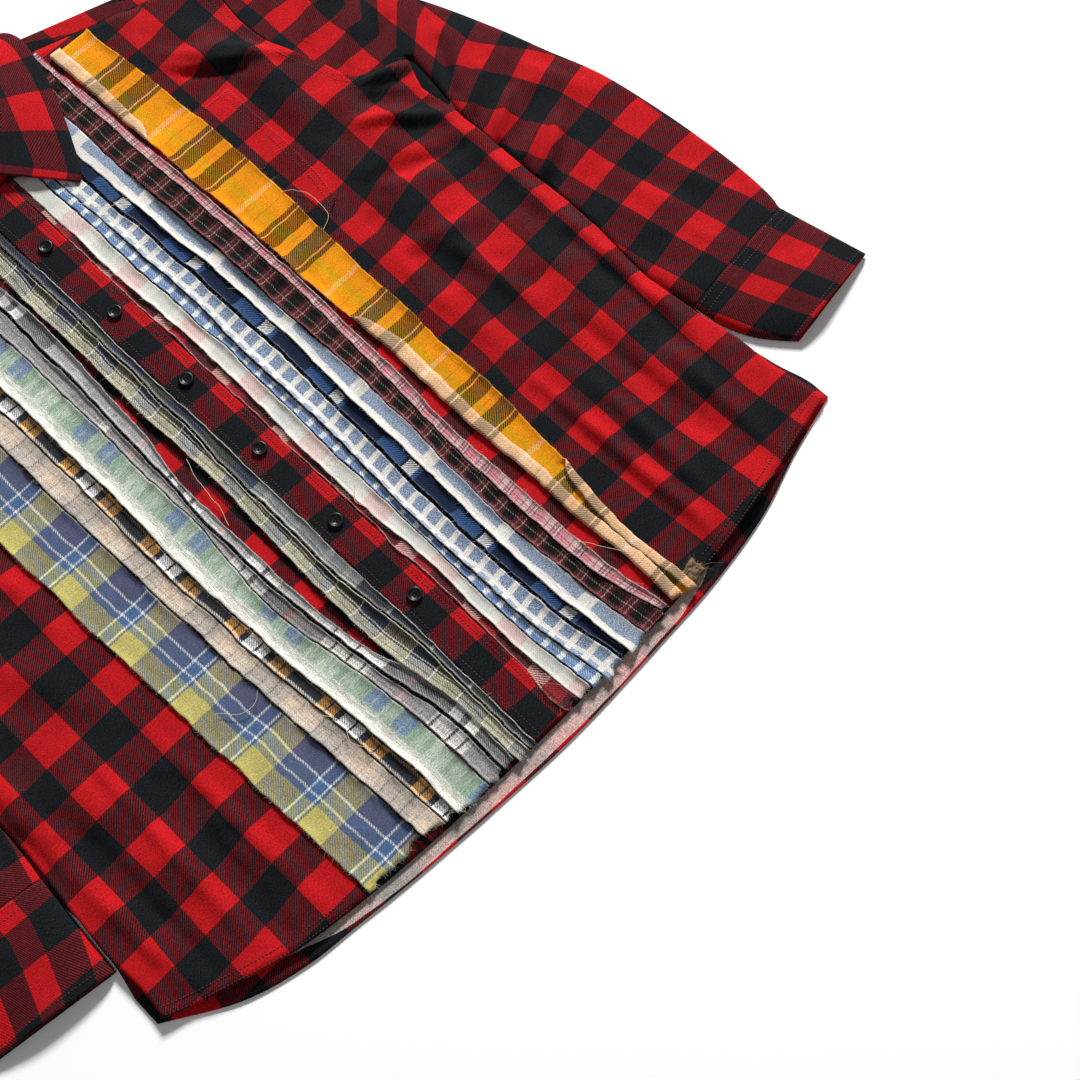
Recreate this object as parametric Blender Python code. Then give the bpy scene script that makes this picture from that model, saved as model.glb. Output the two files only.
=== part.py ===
"""A buttoned long-sleeved flannel shirt, laid flat on its back, with raw-edged strips sewn
down both fronts.

Every piece that a maker would cut is one closed object. The drafting frame below is in
millimetres: x = 0 is the line of the buttons, +x is the wearer's left, +y runs towards the
collar and z = 0 is the surface that the shirt lies on.
"""

import bmesh
import bpy
import numpy as np
from mathutils import Matrix

MM = 0.001

# The middle of the shirt's box in the drafting frame, which becomes the object's origin.
ORIGIN = (8.0, 282.103)

# Layers, from the surface up.
CLOTH = 1.5  # one layer of brushed flannel
CUFF_CLOTH = 2.0  # cuffs and collar stand are lined and interlined
STRIP_CLOTH = 1.2
SEAM = 0.3  # the room left between two pieces that are sewn together
HOLLOW = 1.1  # the room between the front's and the back's cloth
FRONT_Z = CLOTH + HOLLOW
ON_FRONT_Z = FRONT_Z + CLOTH + SEAM
POCKET_STEP = CLOTH + SEAM

# The cut of the body.
HPS = (88.0, 680.0)  # the high point of the shoulder, where the neck meets it
SHOULDER_TIP = (290.0, 618.0)
FORWARD_SEAM = 20.0  # the yoke reaches this far over the shoulder to the front
YOKE_SEAM_Y = 560.0
CENTRE_NECK_Y = 563.0
BACK_NECK_Y = 655.0
STRIP_AREA = 180.0  # the fronts lie level from the button line to here
PLACKET_HALF = 17.3
PLACKET_END = -112.8

FRONT_NECK = {"x": (0, 30, 55, 72, 82, 88), "y": (563, 567, 580, 600, 630, 660)}
SIDE_LEFT = {
    "y": (-82, -60, -30, 0, 30, 60, 100, 130, 160, 200, 240, 300, 345, 372, 404),
    "x": (360, 357, 351.5, 346, 342.5, 339.5, 335.5, 338.5, 342, 343.5, 341.5, 341, 340, 337, 349),
}
SIDE_RIGHT = {
    "y": (-58, -10, 45, 100, 160, 200, 300, 345, 372, 404),
    "x": (355, 350, 346, 342, 342, 343, 341, 340, 337, 349),
}
ARMHOLE = {
    "y": (404, 414, 420, 430, 455, 480, 504, 540, 575, 598, 618),
    "x": (349, 322, 304, 297, 291, 282, 275, 273, 278, 284, 290),
}
FRONT_HEM = {
    "x": (-355, -340, -300, -250, -200, -150, -20, 100, 175, 200, 250, 300, 340, 360),
    "y": (-58, -65, -80, -95, -103, -108, -114, -114, -112, -110, -103, -93, -85, -82),
}
BACK_HEM = {
    "x": (-355, -300, -250, -210, -150, -100, 0, 100, 180, 250, 300, 360),
    "y": (-60, -93, -108, -113, -120, -124, -130, -128, -124, -113, -98, -84),
}

# Soft folds of the two fronts: the ridge's two ends, its height and its half width.
FRONT_FOLDS = [
    {"from": (329, 352), "to": (326, 30), "high": 5.0, "half": 11.0},
    {"from": (326, 388), "to": (236, 322), "high": 4.2, "half": 12.0},
    {"from": (318, 330), "to": (214, 258), "high": 3.4, "half": 14.0},
    {"from": (262, 250), "to": (196, 150), "high": 3.2, "half": 13.0},
    {"from": (184, 572), "to": (270, 490), "high": 6.0, "half": 10.0},
    {"from": (272, 560), "to": (232, 400), "high": 3.0, "half": 15.0},
    {"from": (292, 190), "to": (276, -20), "high": 2.6, "half": 14.0},
    {"from": (226, 120), "to": (232, -40), "high": 2.2, "half": 13.0},
    {"from": (-328, 345), "to": (-327, 20), "high": 4.6, "half": 12.0},
    {"from": (-322, 384), "to": (-240, 318), "high": 4.0, "half": 13.0},
    {"from": (-270, 262), "to": (-226, 120), "high": 3.2, "half": 15.0},
    {"from": (-238, 560), "to": (-262, 420), "high": 3.6, "half": 14.0},
    {"from": (-292, 150), "to": (-270, -30), "high": 2.8, "half": 15.0},
]

# Each sleeve is a flattened tube. A row is a ring, from the armhole to the cuff's seam, with
# its ends on the inner and the outer edge, and the height of its upper wall's outside.
SLEEVE_RINGS = {
    "left": [
        {"inner": (349.8, 403.8), "outer": (290.8, 617.8), "high": 4.1},
        {"inner": (353.0, 405.5), "outer": (322.0, 578.0), "high": 4.1},
        {"inner": (356.5, 405.0), "outer": (353.0, 532.0), "high": 4.6},
        {"inner": (359.0, 402.5), "outer": (383.0, 483.0), "high": 5.4},
        {"inner": (359.5, 396.0), "outer": (408.0, 430.0), "high": 5.8},
        {"inner": (355.0, 374.0), "outer": (428.0, 374.0), "high": 6.0},
        {"inner": (349.0, 345.0), "outer": (436.5, 346.0), "high": 6.2},
        {"inner": (342.2, 312.0), "outer": (444.0, 319.0), "high": 6.2},
        {"inner": (342.6, 264.0), "outer": (459.0, 269.0), "high": 6.0},
        {"inner": (344.6, 206.0), "outer": (467.0, 212.0), "high": 5.4},
        {"inner": (343.0, 154.0), "outer": (471.0, 160.0), "high": 5.0},
        {"inner": (338.0, 106.0), "outer": (472.0, 113.0), "high": 6.0},
        {"inner": (341.6, 68.0), "outer": (470.0, 80.0), "high": 9.8},
        {"inner": (350.6, 50.8), "outer": (466.0, 62.8), "high": 10.4},
    ],
    "right": [
        {"inner": (349.8, 403.8), "outer": (290.8, 617.8), "high": 4.1},
        {"inner": (353.0, 405.5), "outer": (320.0, 580.0), "high": 4.1},
        {"inner": (356.5, 405.0), "outer": (350.0, 536.0), "high": 4.6},
        {"inner": (359.0, 402.5), "outer": (380.0, 488.0), "high": 5.4},
        {"inner": (359.5, 396.0), "outer": (405.0, 436.0), "high": 5.8},
        {"inner": (355.0, 375.0), "outer": (425.0, 380.0), "high": 6.0},
        {"inner": (349.0, 346.0), "outer": (434.5, 352.0), "high": 6.2},
        {"inner": (342.4, 316.0), "outer": (442.0, 326.0), "high": 6.0},
        {"inner": (343.0, 272.0), "outer": (455.0, 280.0), "high": 5.6},
        {"inner": (344.2, 222.0), "outer": (463.0, 230.0), "high": 5.2},
        {"inner": (343.4, 172.0), "outer": (467.0, 182.0), "high": 5.2},
        {"inner": (343.4, 128.0), "outer": (467.0, 138.0), "high": 6.2},
        {"inner": (345.2, 96.0), "outer": (464.0, 106.0), "high": 9.8},
        {"inner": (348.2, 79.6), "outer": (459.5, 89.6), "high": 10.4},
    ],
}
CUFF_RINGS = {
    "left": [
        {"inner": (349.0, 50.3), "outer": (466.1, 62.42), "high": 10.4},
        {"inner": (349.6, 22.0), "outer": (470.5, 41.0), "high": 11.0},
        {"inner": (358.0, -3.0), "outer": (475.0, 19.0), "high": 11.4},
        {"inner": (369.0, -20.0), "outer": (479.2, -1.0), "high": 11.8},
        {"inner": (380.0, -33.5), "outer": (483.0, -20.0), "high": 12.2},
    ],
    "right": [
        {"inner": (347.8, 79.2), "outer": (459.6, 89.22), "high": 10.4},
        {"inner": (348.2, 56.0), "outer": (459.4, 68.0), "high": 11.0},
        {"inner": (349.4, 33.0), "outer": (458.6, 46.0), "high": 11.4},
        {"inner": (350.6, 11.0), "outer": (457.4, 25.0), "high": 11.8},
        {"inner": (351.8, -11.0), "outer": (456.0, 4.0), "high": 12.2},
    ],
}
# Folds of the sleeves' upper walls, in the same form as the fronts'.
SLEEVE_FOLDS = [
    {"from": (349, 231), "to": (404, 268), "high": 4.5, "half": 8.0},
    {"from": (350, 290), "to": (394, 316), "high": 4.0, "half": 8.0},
    {"from": (356, 346), "to": (410, 398), "high": 3.4, "half": 9.0},
    {"from": (404, 316), "to": (450, 240), "high": 2.4, "half": 11.0},
    {"from": (384, 200), "to": (410, 112), "high": 2.2, "half": 12.0},
]
ARMHOLE_GAP = 0.8  # between the armhole's seam line and the sleeve
CUFF_SHARES = (0.12, 0.26, 0.4, 0.54, 0.68, 0.82)  # the places across a cuff's wall
EDGE_ROUND = 5.0  # a tube's upper wall comes down over this width at its two edges

# The collar, from the centre of the front round to the centre of the back. Each row has the
# stand's lower edge, its upper edge, the edge of the leaf that folds over it, and how wide
# the leaf rolls over the stand.
COLLAR = [
    {"low": (0, 563, 4.5), "top": (0, 584, 12.5), "edge": (62, 514, 6.3), "roll": 3.0},
    {"low": (20, 564.8, 4.5), "top": (18, 586, 12.8), "edge": (70, 522, 6.3), "roll": 3.0},
    {"low": (42, 572.8, 4.5), "top": (38, 593, 13.2), "edge": (85, 552, 6.3), "roll": 3.0},
    {"low": (62.5, 588, 4.5), "top": (55, 607, 13.4), "edge": (98, 582, 6.4), "roll": 3.0},
    {"low": (77, 612.5, 4.5), "top": (67, 628, 13.2), "edge": (110, 614, 6.4), "roll": 3.0},
    {"low": (85, 640, 4.5), "top": (74, 653, 12.4), "edge": (118, 644, 6.4), "roll": 3.0},
    {"low": (87.5, 660, 4.6), "top": (77, 672, 11.4), "edge": (121, 664, 6.2), "roll": 2.6},
    {"low": (87.5, 670, 4.8), "top": (78, 682, 10.2), "edge": (117, 680, 5.2), "roll": 2.2},
    {"low": (83, 674.5, 4.8), "top": (75, 688.5, 8.4), "edge": (104, 690, 3.6), "roll": 1.8},
    {"low": (75, 672, 4.5), "top": (69, 691, 6.6), "edge": (89, 689.5, 2.2), "roll": 1.6},
    {"low": (64, 667, 4.3), "top": (60, 691, 5.4), "edge": (74, 680, 1.6), "roll": 1.4},
    {"low": (36, 659, 4.1), "top": (34, 690, 4.3), "edge": (38, 662.5, 1.6), "roll": 1.4},
    {"low": (0, 654.8, 4.0), "top": (0, 688, 4.0), "edge": (0, 656.2, 1.6), "roll": 1.4},
]
STAND_END = 1.4  # half of the opening between the leaf's two front ends at the stand

POCKET_OUTLINE = [
    (103, 495), (216, 494.5), (215, 420), (212, 372), (206, 344), (196, 333),
    (160, 319), (123, 333), (113, 344), (107, 372), (104, 420),
]  # fmt: skip
POCKET_TOP = 497.0
POCKET_LOW = 317.0

BUTTON_PITCH = 89.7
LOWEST_BUTTON = 37.5
PLACKET_BUTTONS = 6
BUTTON_PROFILE = {
    "radius": (0.0, 3.7, 4.4, 5.6, 6.3, 6.5, 6.1, 0.0),
    "height": (1.3, 1.3, 2.3, 2.7, 2.2, 1.2, 0.0, 0.0),
}
BUTTON_SIDES = 14

# The raw edges between the strips: x on each of these heights above and below the hem line.
HEIGHTS = (-112, -50, 20, 100, 200, 300, 400, 500, 620)
EDGES = {
    "orange_right": (160, 157, 163.5, 171, 172, 175, 178, 177, 171),
    "orange_left": (136, 140, 136, 134, 135, 132, 131, 129, 127),
    "pink_right": (133, 126, 123.5, 122, 127, 130, 129, 127.5, 124),
    "pink_left": (126, 112, 110, 110.5, 117, 121, 119, 118, 116),
    "tartan_left": (104, 98, 93, 97, 101, 100, 99, 97, 96),
    "white_left": (84, 77, 77.5, 79, 81.5, 85, 83, 78, 77),
    "navy_left": (76, 67, 65, 66.5, 70, 71.5, 70, 67, 65),
    "gingham_left": (55, 47, 45, 46, 50, 51, 52, 49, 48),
    "under_left": (42, 38.5, 38, 39.5, 41, 42.5, 41.5, 40.5, 40),
    "cream_left": (28, 24, 27, 24, 24, 27, 24, 24, 24),
    "fringe_left": (18, 18, 18, 18, 18, 18, 18, 18, 18),
    "slate_right": (-18.2, -18.2, -18.2, -18.2, -18.2, -18.2, -18.2, -18.2, -18.2),
    "olive_right": (-26, -27, -27, -28.5, -28.5, -26, -26, -26, -26),
    "olive_left": (-38, -38, -48, -49, -45, -46, -46, -46, -46),
    "check_right": (-39, -39, -49, -58, -61, -56, -50, -50, -50),
    "check_left": (-51, -51, -63, -73, -74, -70, -66, -66, -66),
    "grey_left": (-65, -67, -73, -86, -79, -80, -80, -80, -80),
    "green_left": (-98, -98, -103, -109, -111.5, -111, -111, -111, -111),
    "brown_left": (-109.5, -111.5, -115, -121.5, -124, -124, -124, -124, -124),
    "beige_left": (-127.5, -130.5, -135, -138.5, -142, -144, -145, -145, -145),
    "blue_left": (-184, -187, -190, -192, -196.5, -198, -199, -199, -199),
}
EDGE_GAP = 0.4  # a strip stops this far short of the line that it shares with its neighbour
# The strips in turn from the wearer's left: their two edges, how far their left and right
# raw edges curl up, where their lower end lies, and their colour.
STRIPS = [
    ("strip_orange_plaid", "orange_left", "orange_right", 4.0, 2.2, -112.0, "#E08A10"),
    ("strip_pink_check", "pink_left", "pink_right", 5.0, 4.6, -111.0, "#C98A92"),
    ("strip_red_tartan", "tartan_left", "pink_left", 2.0, 2.4, -110.0, "#5A2730"),
    ("strip_white_denim", "white_left", "tartan_left", 3.6, 3.4, -110.0, "#C9CFD8"),
    ("strip_navy_twill", "navy_left", "white_left", 2.2, 2.0, -112.0, "#27345A"),
    ("strip_blue_gingham", "gingham_left", "navy_left", 3.2, 3.4, -113.0, "#9FB1CB"),
    ("strip_blue_under", "under_left", "gingham_left", 1.6, 1.8, -111.0, "#7C93B8"),
    ("strip_cream_pink", "cream_left", "under_left", 3.4, 3.0, -108.0, "#DDD6D2"),
    ("strip_maroon_edge", "fringe_left", "cream_left", 1.4, 2.2, -110.0, "#8E3A46"),
    ("strip_slate_layer", "olive_right", "slate_right", 2.0, 2.4, -108.0, "#343C45"),
    ("strip_olive_plaid", "olive_left", "olive_right", 3.2, 3.0, -111.0, "#6E7160"),
    ("strip_grey_check", "check_left", "check_right", 3.0, 4.2, -108.0, "#8B8D92"),
    ("strip_grey_fuzzy", "grey_left", "check_left", 3.6, 3.4, -108.0, "#9C9EA2"),
    ("strip_cream_green", "green_left", "grey_left", 3.8, 3.6, -108.5, "#BFC7BF"),
    ("strip_brown_check", "brown_left", "green_left", 2.6, 2.4, -103.0, "#6A5546"),
    ("strip_beige_fuzzy", "beige_left", "brown_left", 3.0, 3.0, -102.0, "#B7A699"),
    ("strip_blue_yellow", "blue_left", "beige_left", 1.6, 3.2, -100.0, "#7A8AA6"),
]
STRIP_ROWS = (-60, 0, 60, 130, 200, 260, 306, 316, 400, 497, 506, 560)
LIFT_SHAPE = {"across": (0.0, 0.24, 0.5, 0.76, 1.0), "share": (1.0, 0.14, 0.0, 0.14, 1.0)}
# No raw edge curls up under the collar's leaf.
CALM_FROM, CALM_TO = 450.0, 500.0

RED_BLACK = "#5E1519"
BUTTON_BLACK = "#101113"


def clear_scene():
    for item in list(bpy.data.objects):
        bpy.data.objects.remove(item, do_unlink=True)


def linear(channel):
    return channel / 12.92 if channel <= 0.04045 else ((channel + 0.055) / 1.055) ** 2.4


def material(name, colour, roughness):
    """A plain Principled material from an sRGB hex colour."""
    made = bpy.data.materials.new(name)
    made.use_nodes = True
    shader = made.node_tree.nodes["Principled BSDF"]
    rgb = [linear(int(colour[i : i + 2], 16) / 255) for i in (1, 3, 5)]
    shader.inputs["Base Color"].default_value = (*rgb, 1.0)
    shader.inputs["Roughness"].default_value = roughness
    shader.inputs["Metallic"].default_value = 0.0
    made.diffuse_color = (*rgb, 1.0)
    return made


def finish(name, bm, colour, roughness=0.95):
    """Move a bmesh drawn in the drafting frame to the object's frame and link it."""
    for vertex in bm.verts:
        vertex.co.x = (vertex.co.x - ORIGIN[0]) * MM
        vertex.co.y = (vertex.co.y - ORIGIN[1]) * MM
        vertex.co.z = vertex.co.z * MM
    mesh = bpy.data.meshes.new(name)
    bm.to_mesh(mesh)
    bm.free()
    mesh.materials.append(material(name, colour, roughness))
    mesh.shade_smooth()
    mesh.set_sharp_from_angle(angle=np.radians(40))
    made = bpy.data.objects.new(name, mesh)
    bpy.context.scene.collection.objects.link(made)
    return made


def smooth_at(keys, values, at):
    """The value at one place of a smooth curve through a table's rows, level beyond its ends."""
    keys, values = np.asarray(keys, float), np.asarray(values, float)
    slopes = np.gradient(values, keys)
    i = int(np.clip(np.searchsorted(keys, at) - 1, 0, len(keys) - 2))
    span = keys[i + 1] - keys[i]
    t = float(np.clip((at - keys[i]) / span, 0, 1))
    return (
        values[i] * (1 + 2 * t) * (1 - t) ** 2
        + values[i + 1] * (3 - 2 * t) * t**2
        + span * (slopes[i] * t * (1 - t) ** 2 - slopes[i + 1] * (1 - t) * t**2)
    )


def ease(value, low, high):
    """0 below low, 1 above high, and a smooth step between."""
    t = float(np.clip((value - low) / (high - low), 0, 1))
    return t * t * (3 - 2 * t)


def shoulder_y(x):
    """The shoulder's fold line."""
    share = (abs(x) - HPS[0]) / (SHOULDER_TIP[0] - HPS[0])
    return HPS[1] + (SHOULDER_TIP[1] - HPS[1]) * share


def front_top(x):
    """Where a front ends above: at the neck, and past it at the yoke's forward seam."""
    if abs(x) <= HPS[0]:
        return float(np.interp(abs(x), FRONT_NECK["x"], FRONT_NECK["y"]))
    return shoulder_y(x) - FORWARD_SEAM


def body_edge(y, side):
    """How far from the button line a body panel reaches at this height."""
    if y < ARMHOLE["y"][0]:
        table = SIDE_LEFT if side > 0 else SIDE_RIGHT
        return float(np.interp(y, table["y"], table["x"]))
    return float(np.interp(y, ARMHOLE["y"], ARMHOLE["x"]))


def ridges(x, y, folds):
    """The height that soft folds add at one place."""
    total = 0.0
    for fold in folds:
        start, end = np.array(fold["from"], float), np.array(fold["to"], float)
        run = end - start
        along = float(np.dot((x, y) - start, run) / np.dot(run, run))
        if 0 < along < 1:
            away = float(np.hypot(*((x, y) - start - run * along)))
            total += fold["high"] * np.exp(-((away / fold["half"]) ** 2)) * np.sin(np.pi * along) ** 0.6
    return total


def front_z(x, y, side):
    """The inside of a front: level under the strips and the pocket, folded beyond them."""
    under_pocket = ease(y, 300, 325) * (1 - ease(y, 500, 525)) * (side > 0)
    calm = STRIP_AREA + 6 + 34 * under_pocket
    folds = ridges(x, y, FRONT_FOLDS) * ease(abs(x), calm, calm + 22)
    edge = body_edge(y, side) - abs(x)
    if y < ARMHOLE["y"][0]:
        return CLOTH + SEAM + (FRONT_Z - CLOTH - SEAM + folds) * ease(edge, -1, 12)
    return FRONT_Z + folds * ease(edge, 2, 22)


def cloth_object(name, rows, thick, colour, closed=False):
    """A wall of cloth from the rows of points on its inside. Solidify grows it outwards: seen
    from outside, a row runs from left to right and the next row lies above it."""
    bm = bmesh.new()
    grid = [[bm.verts.new(point) for point in row] for row in rows]
    for lower, upper in zip(grid, grid[1:]):
        count = len(lower)
        for i in range(count if closed else count - 1):
            j = (i + 1) % count
            bm.faces.new((lower[i], lower[j], upper[j], upper[i]))
    made = finish(name, bm, colour)
    wall = made.modifiers.new("Wall", "SOLIDIFY")
    wall.thickness = thick * MM
    wall.offset = 1
    wall.use_even_offset = True
    return made


def slab(name, outline, low, thick, colour):
    """A flat piece from its outline, drawn anticlockwise seen from above."""
    bm = bmesh.new()
    face = bm.faces.new([bm.verts.new((x, y, low)) for x, y in outline])
    face.normal_update()
    if face.normal.z > 0:
        face.normal_flip()
    raised = bmesh.ops.extrude_face_region(bm, geom=[face])
    top = [item for item in raised["geom"] if isinstance(item, bmesh.types.BMVert)]
    bmesh.ops.translate(bm, vec=(0, 0, thick), verts=top)
    bmesh.ops.recalc_face_normals(bm, faces=bm.faces)
    return finish(name, bm, colour)


def make_back():
    """The back below the yoke, flat on the surface, with the longer hem."""
    hem = [(x, smooth_at(BACK_HEM["x"], BACK_HEM["y"], x)) for x in range(-340, 350, 20)]
    hem = [(-355, -60.0), *hem, (360, -84.0)]
    heights = (-30, 0, 30, 60, 100, 130, 160, 200, 240, 300, 345, 372)
    heights += (*ARMHOLE["y"][:-3], YOKE_SEAM_Y - SEAM)
    right_edge = [(body_edge(y, 1), y) for y in heights]
    left_edge = [(-body_edge(y, -1), y) for y in reversed(heights)]
    slab("back", hem + right_edge + left_edge, 0.0, CLOTH, RED_BLACK)


def make_yoke():
    """The yoke: its back half lies on the surface, and beside the neck it folds over the
    shoulder line to a seam on the front."""
    columns = [88, 120, 160, 200, 240, 264, ARMHOLE["x"][-1]]
    half_gap = HOLLOW / 2
    turn = [(half_gap * np.sin(a), CLOTH + half_gap * (1 - np.cos(a))) for a in np.radians((45, 90, 135))]
    rows = []
    for x in [-x for x in reversed(columns)] + [-60, -30, 0, 30, 60] + columns:
        if abs(x) >= HPS[0]:
            fold = shoulder_y(x) - CLOTH - half_gap
            section = [(YOKE_SEAM_Y, CLOTH), (575, CLOTH), (598, CLOTH), (fold, CLOTH)]
            section += [(fold + out, z) for out, z in turn]
            seam_y = front_top(min(abs(x), ARMHOLE["x"][-2])) + SEAM
            section += [(fold, FRONT_Z), (seam_y, FRONT_Z)]
            side = np.sign(x)
            rows.append([(side * min(abs(x), body_edge(y, side)), y, z) for y, z in section])
        else:
            neck = BACK_NECK_Y + (HPS[1] - BACK_NECK_Y - CLOTH - half_gap) * (x / HPS[0]) ** 2
            rows.append([(x, y, CLOTH) for y in (YOKE_SEAM_Y, 575, 598, neck)])
    bm = bmesh.new()
    grid = [[bm.verts.new(point) for point in row] for row in rows]
    for one, two in zip(grid, grid[1:]):
        for i in range(min(len(one), len(two)) - 1):
            bm.faces.new((one[i], one[i + 1], two[i + 1], two[i]))
    made = finish("yoke", bm, RED_BLACK)
    wall = made.modifiers.new("Wall", "SOLIDIFY")
    wall.thickness = CLOTH * MM
    wall.offset = 1
    wall.use_even_offset = True


def make_front(name, side):
    """One front, from the button line to its side seam and armhole."""
    level_columns = (15.3, 40, 62, 78, 88, 130, STRIP_AREA)
    if side < 0:
        level_columns = (-14.7, 12, 40, 62, 78, 88, 130, STRIP_AREA)
    shares = (0.12, 0.24, 0.36, 0.48, 0.6, 0.72, 0.83, 0.92, 1.0)
    # Rows below the first level one are a share of the way down to the hem, and those above
    # the last level one a share of the way up to the neck and the shoulder.
    level_rows = (0, 35, 70, 105, 140, 175, 210, 245, 280, 312, 345, 372, 403.6)
    level_rows += ARMHOLE["y"][1:-3]
    corner_y = (SIDE_LEFT if side > 0 else SIDE_RIGHT)["y"][0]
    last, seam = level_rows[-1], ARMHOLE["y"][-2]
    rows = [(corner_y * share, share, 0.0) for share in (1.0, 0.72, 0.4)]
    rows += [(y, 0.0, 0.0) for y in level_rows]
    rows += [(y, 0.0, (y - last) / (seam - last)) for y in ARMHOLE["y"][-3:-1]]
    grid = []
    for edge_y, down, up in rows:
        reach = body_edge(edge_y, side) - STRIP_AREA
        line = []
        for x in (*level_columns, *(STRIP_AREA + reach * share for share in shares)):
            x *= side
            y = edge_y
            if down:
                y = smooth_at(FRONT_HEM["x"], FRONT_HEM["y"], x) * down
            elif up:
                y = last + (front_top(x) - last) * up
            line.append((x, y, front_z(x, y, side)))
        grid.append(line if side > 0 else line[::-1])
    cloth_object(name, grid, CLOTH, RED_BLACK)


def make_placket():
    """The buttoned band on the edge of the left front."""
    half = PLACKET_HALF
    heights = (PLACKET_END, 0, 140, 280, 420, CENTRE_NECK_Y - SEAM - 2)
    rows = [[(-half, y, ON_FRONT_Z), (0, y, ON_FRONT_Z), (half, y, ON_FRONT_Z)] for y in heights]
    cloth_object("placket", rows, CLOTH, RED_BLACK)


def make_pocket():
    slab("pocket", POCKET_OUTLINE[::-1], ON_FRONT_Z, CLOTH, RED_BLACK)


def strip_top(left, right):
    """A strip runs up to the neck's or the shoulder's seam."""
    short = 2.5 if min(abs(left), abs(right)) > HPS[0] else 7.0
    return min(front_top(left), front_top(right), front_top((left + right) / 2)) - short


def make_strip(name, left, right, lift_left, lift_right, end, colour):
    """A raw-edged strip: stitched down along its middle, with both edges curled up."""
    over_pocket = EDGES[left][0] > 90
    middle = (EDGES[left][-1] + EDGES[right][-1]) / 2
    top = strip_top(EDGES[left][-1], EDGES[right][-1])
    heights = [end, *(y for y in STRIP_ROWS if end + 12 < y < top - 12), top]
    if not over_pocket:
        heights = [y for y in heights if y not in (306, 497)]
    rows = []
    for y in heights:
        x_left = smooth_at(HEIGHTS, EDGES[left], y) + EDGE_GAP
        x_right = smooth_at(HEIGHTS, EDGES[right], y) - EDGE_GAP
        base = ON_FRONT_Z
        if over_pocket and POCKET_LOW - 2 < y < POCKET_TOP + 1:
            base += POCKET_STEP
        calm = 1 - ease(y, CALM_FROM, CALM_TO) * (abs(middle) < 130)
        swell = calm * (0.8 + 0.2 * np.sin(y / 47 + middle))
        line = []
        for across, share in zip(LIFT_SHAPE["across"], LIFT_SHAPE["share"]):
            lift = (lift_left if across < 0.5 else lift_right) * share * swell
            line.append((x_left + (x_right - x_left) * across, y, base + lift))
        rows.append(line)
    cloth_object(name, rows, STRIP_CLOTH, colour)


def tube_object(name, rings, side, cloth, folds, middle_shares, first_line=None):
    """A flattened open tube: an outer and an inner loop for each ring, and a rim at each end.
    The under side lies on the surface, and the upper wall comes down to it at both edges."""
    edge_steps = (0.0, 0.9, 2.6, EDGE_ROUND)
    outer_loops, inner_loops = [], []
    for number, ring in enumerate(rings):
        inner_end, outer_end = np.array(ring["inner"], float), np.array(ring["outer"], float)
        if first_line is not None and number == 0:
            inner_end, outer_end = first_line(0.0), first_line(1.0)
        width = float(np.hypot(*(outer_end - inner_end)))
        shares = [step / width for step in edge_steps]
        shares += [*middle_shares, *(1 - share for share in reversed(shares))]
        bow = 0.0 if first_line is None else max(0.0, 1 - number / 4)
        low_outer, low_inner, top_outer, top_inner = [], [], [], []
        for share in shares:
            place = inner_end + (outer_end - inner_end) * share
            if bow:
                place = place + (first_line(share) - line_chord(first_line, share)) * bow
            inset = inner_end + (outer_end - inner_end) * (cloth + (width - 2 * cloth) * share) / width
            inset = inset + (place - inner_end - (outer_end - inner_end) * share)
            away = min(share, 1 - share) * width
            rounding = np.sqrt(1 - (1 - min(away, EDGE_ROUND) / EDGE_ROUND) ** 2)
            extra = (ring["high"] - FRONT_Z - CLOTH) * np.sin(np.pi * share**0.8) ** 0.7
            extra += ridges(place[0], place[1], folds) * ease(away, 2, 14) * min(1.0, number / 2)
            high = FRONT_Z + CLOTH + extra
            middle = (FRONT_Z + CLOTH) / 2
            low_outer.append((side * place[0], place[1], middle * (1 - rounding)))
            top_outer.append((side * place[0], place[1], middle + (high - middle) * rounding))
            low_inner.append((side * inset[0], inset[1], middle - (middle - cloth) * rounding))
            top_inner.append((side * inset[0], inset[1], middle + (high - cloth - middle) * rounding))
        outer_loops.append(low_outer + top_outer[-2:0:-1])
        inner_loops.append(low_inner + top_inner[-2:0:-1])
    bm = bmesh.new()
    outer = [[bm.verts.new(point) for point in loop] for loop in outer_loops]
    inner = [[bm.verts.new(point) for point in loop] for loop in inner_loops]
    count = len(outer[0])
    for skins in (outer, inner):
        for one, two in zip(skins, skins[1:]):
            for i in range(count):
                j = (i + 1) % count
                bm.faces.new((one[i], one[j], two[j], two[i]))
    for end in (0, -1):
        for i in range(count):
            j = (i + 1) % count
            bm.faces.new((outer[end][i], outer[end][j], inner[end][j], inner[end][i]))
    bmesh.ops.recalc_face_normals(bm, faces=bm.faces)
    return finish(name, bm, RED_BLACK)


def armhole_steps():
    """How far along the armhole's seam each row of its table lies, from under the arm."""
    runs = np.hypot(np.diff(ARMHOLE["x"]), np.diff(ARMHOLE["y"]))
    return np.concatenate([[0], np.cumsum(runs)])


def armhole_line(share):
    """A place just outside the armhole's seam, from under the arm up to the shoulder tip."""
    steps = armhole_steps()
    at = share * steps[-1]
    place, before, after = (
        np.array([np.interp(step, steps, ARMHOLE[axis]) for axis in ("x", "y")])
        for step in (at, at - ARMHOLE_GAP, at + ARMHOLE_GAP)
    )
    run = (after - before) / np.hypot(*(after - before))
    return place + np.array((run[1], -run[0])) * ARMHOLE_GAP


def line_chord(line, share):
    """The same share of the straight line between a seam line's two ends."""
    return line(0.0) + (line(1.0) - line(0.0)) * share


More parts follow.
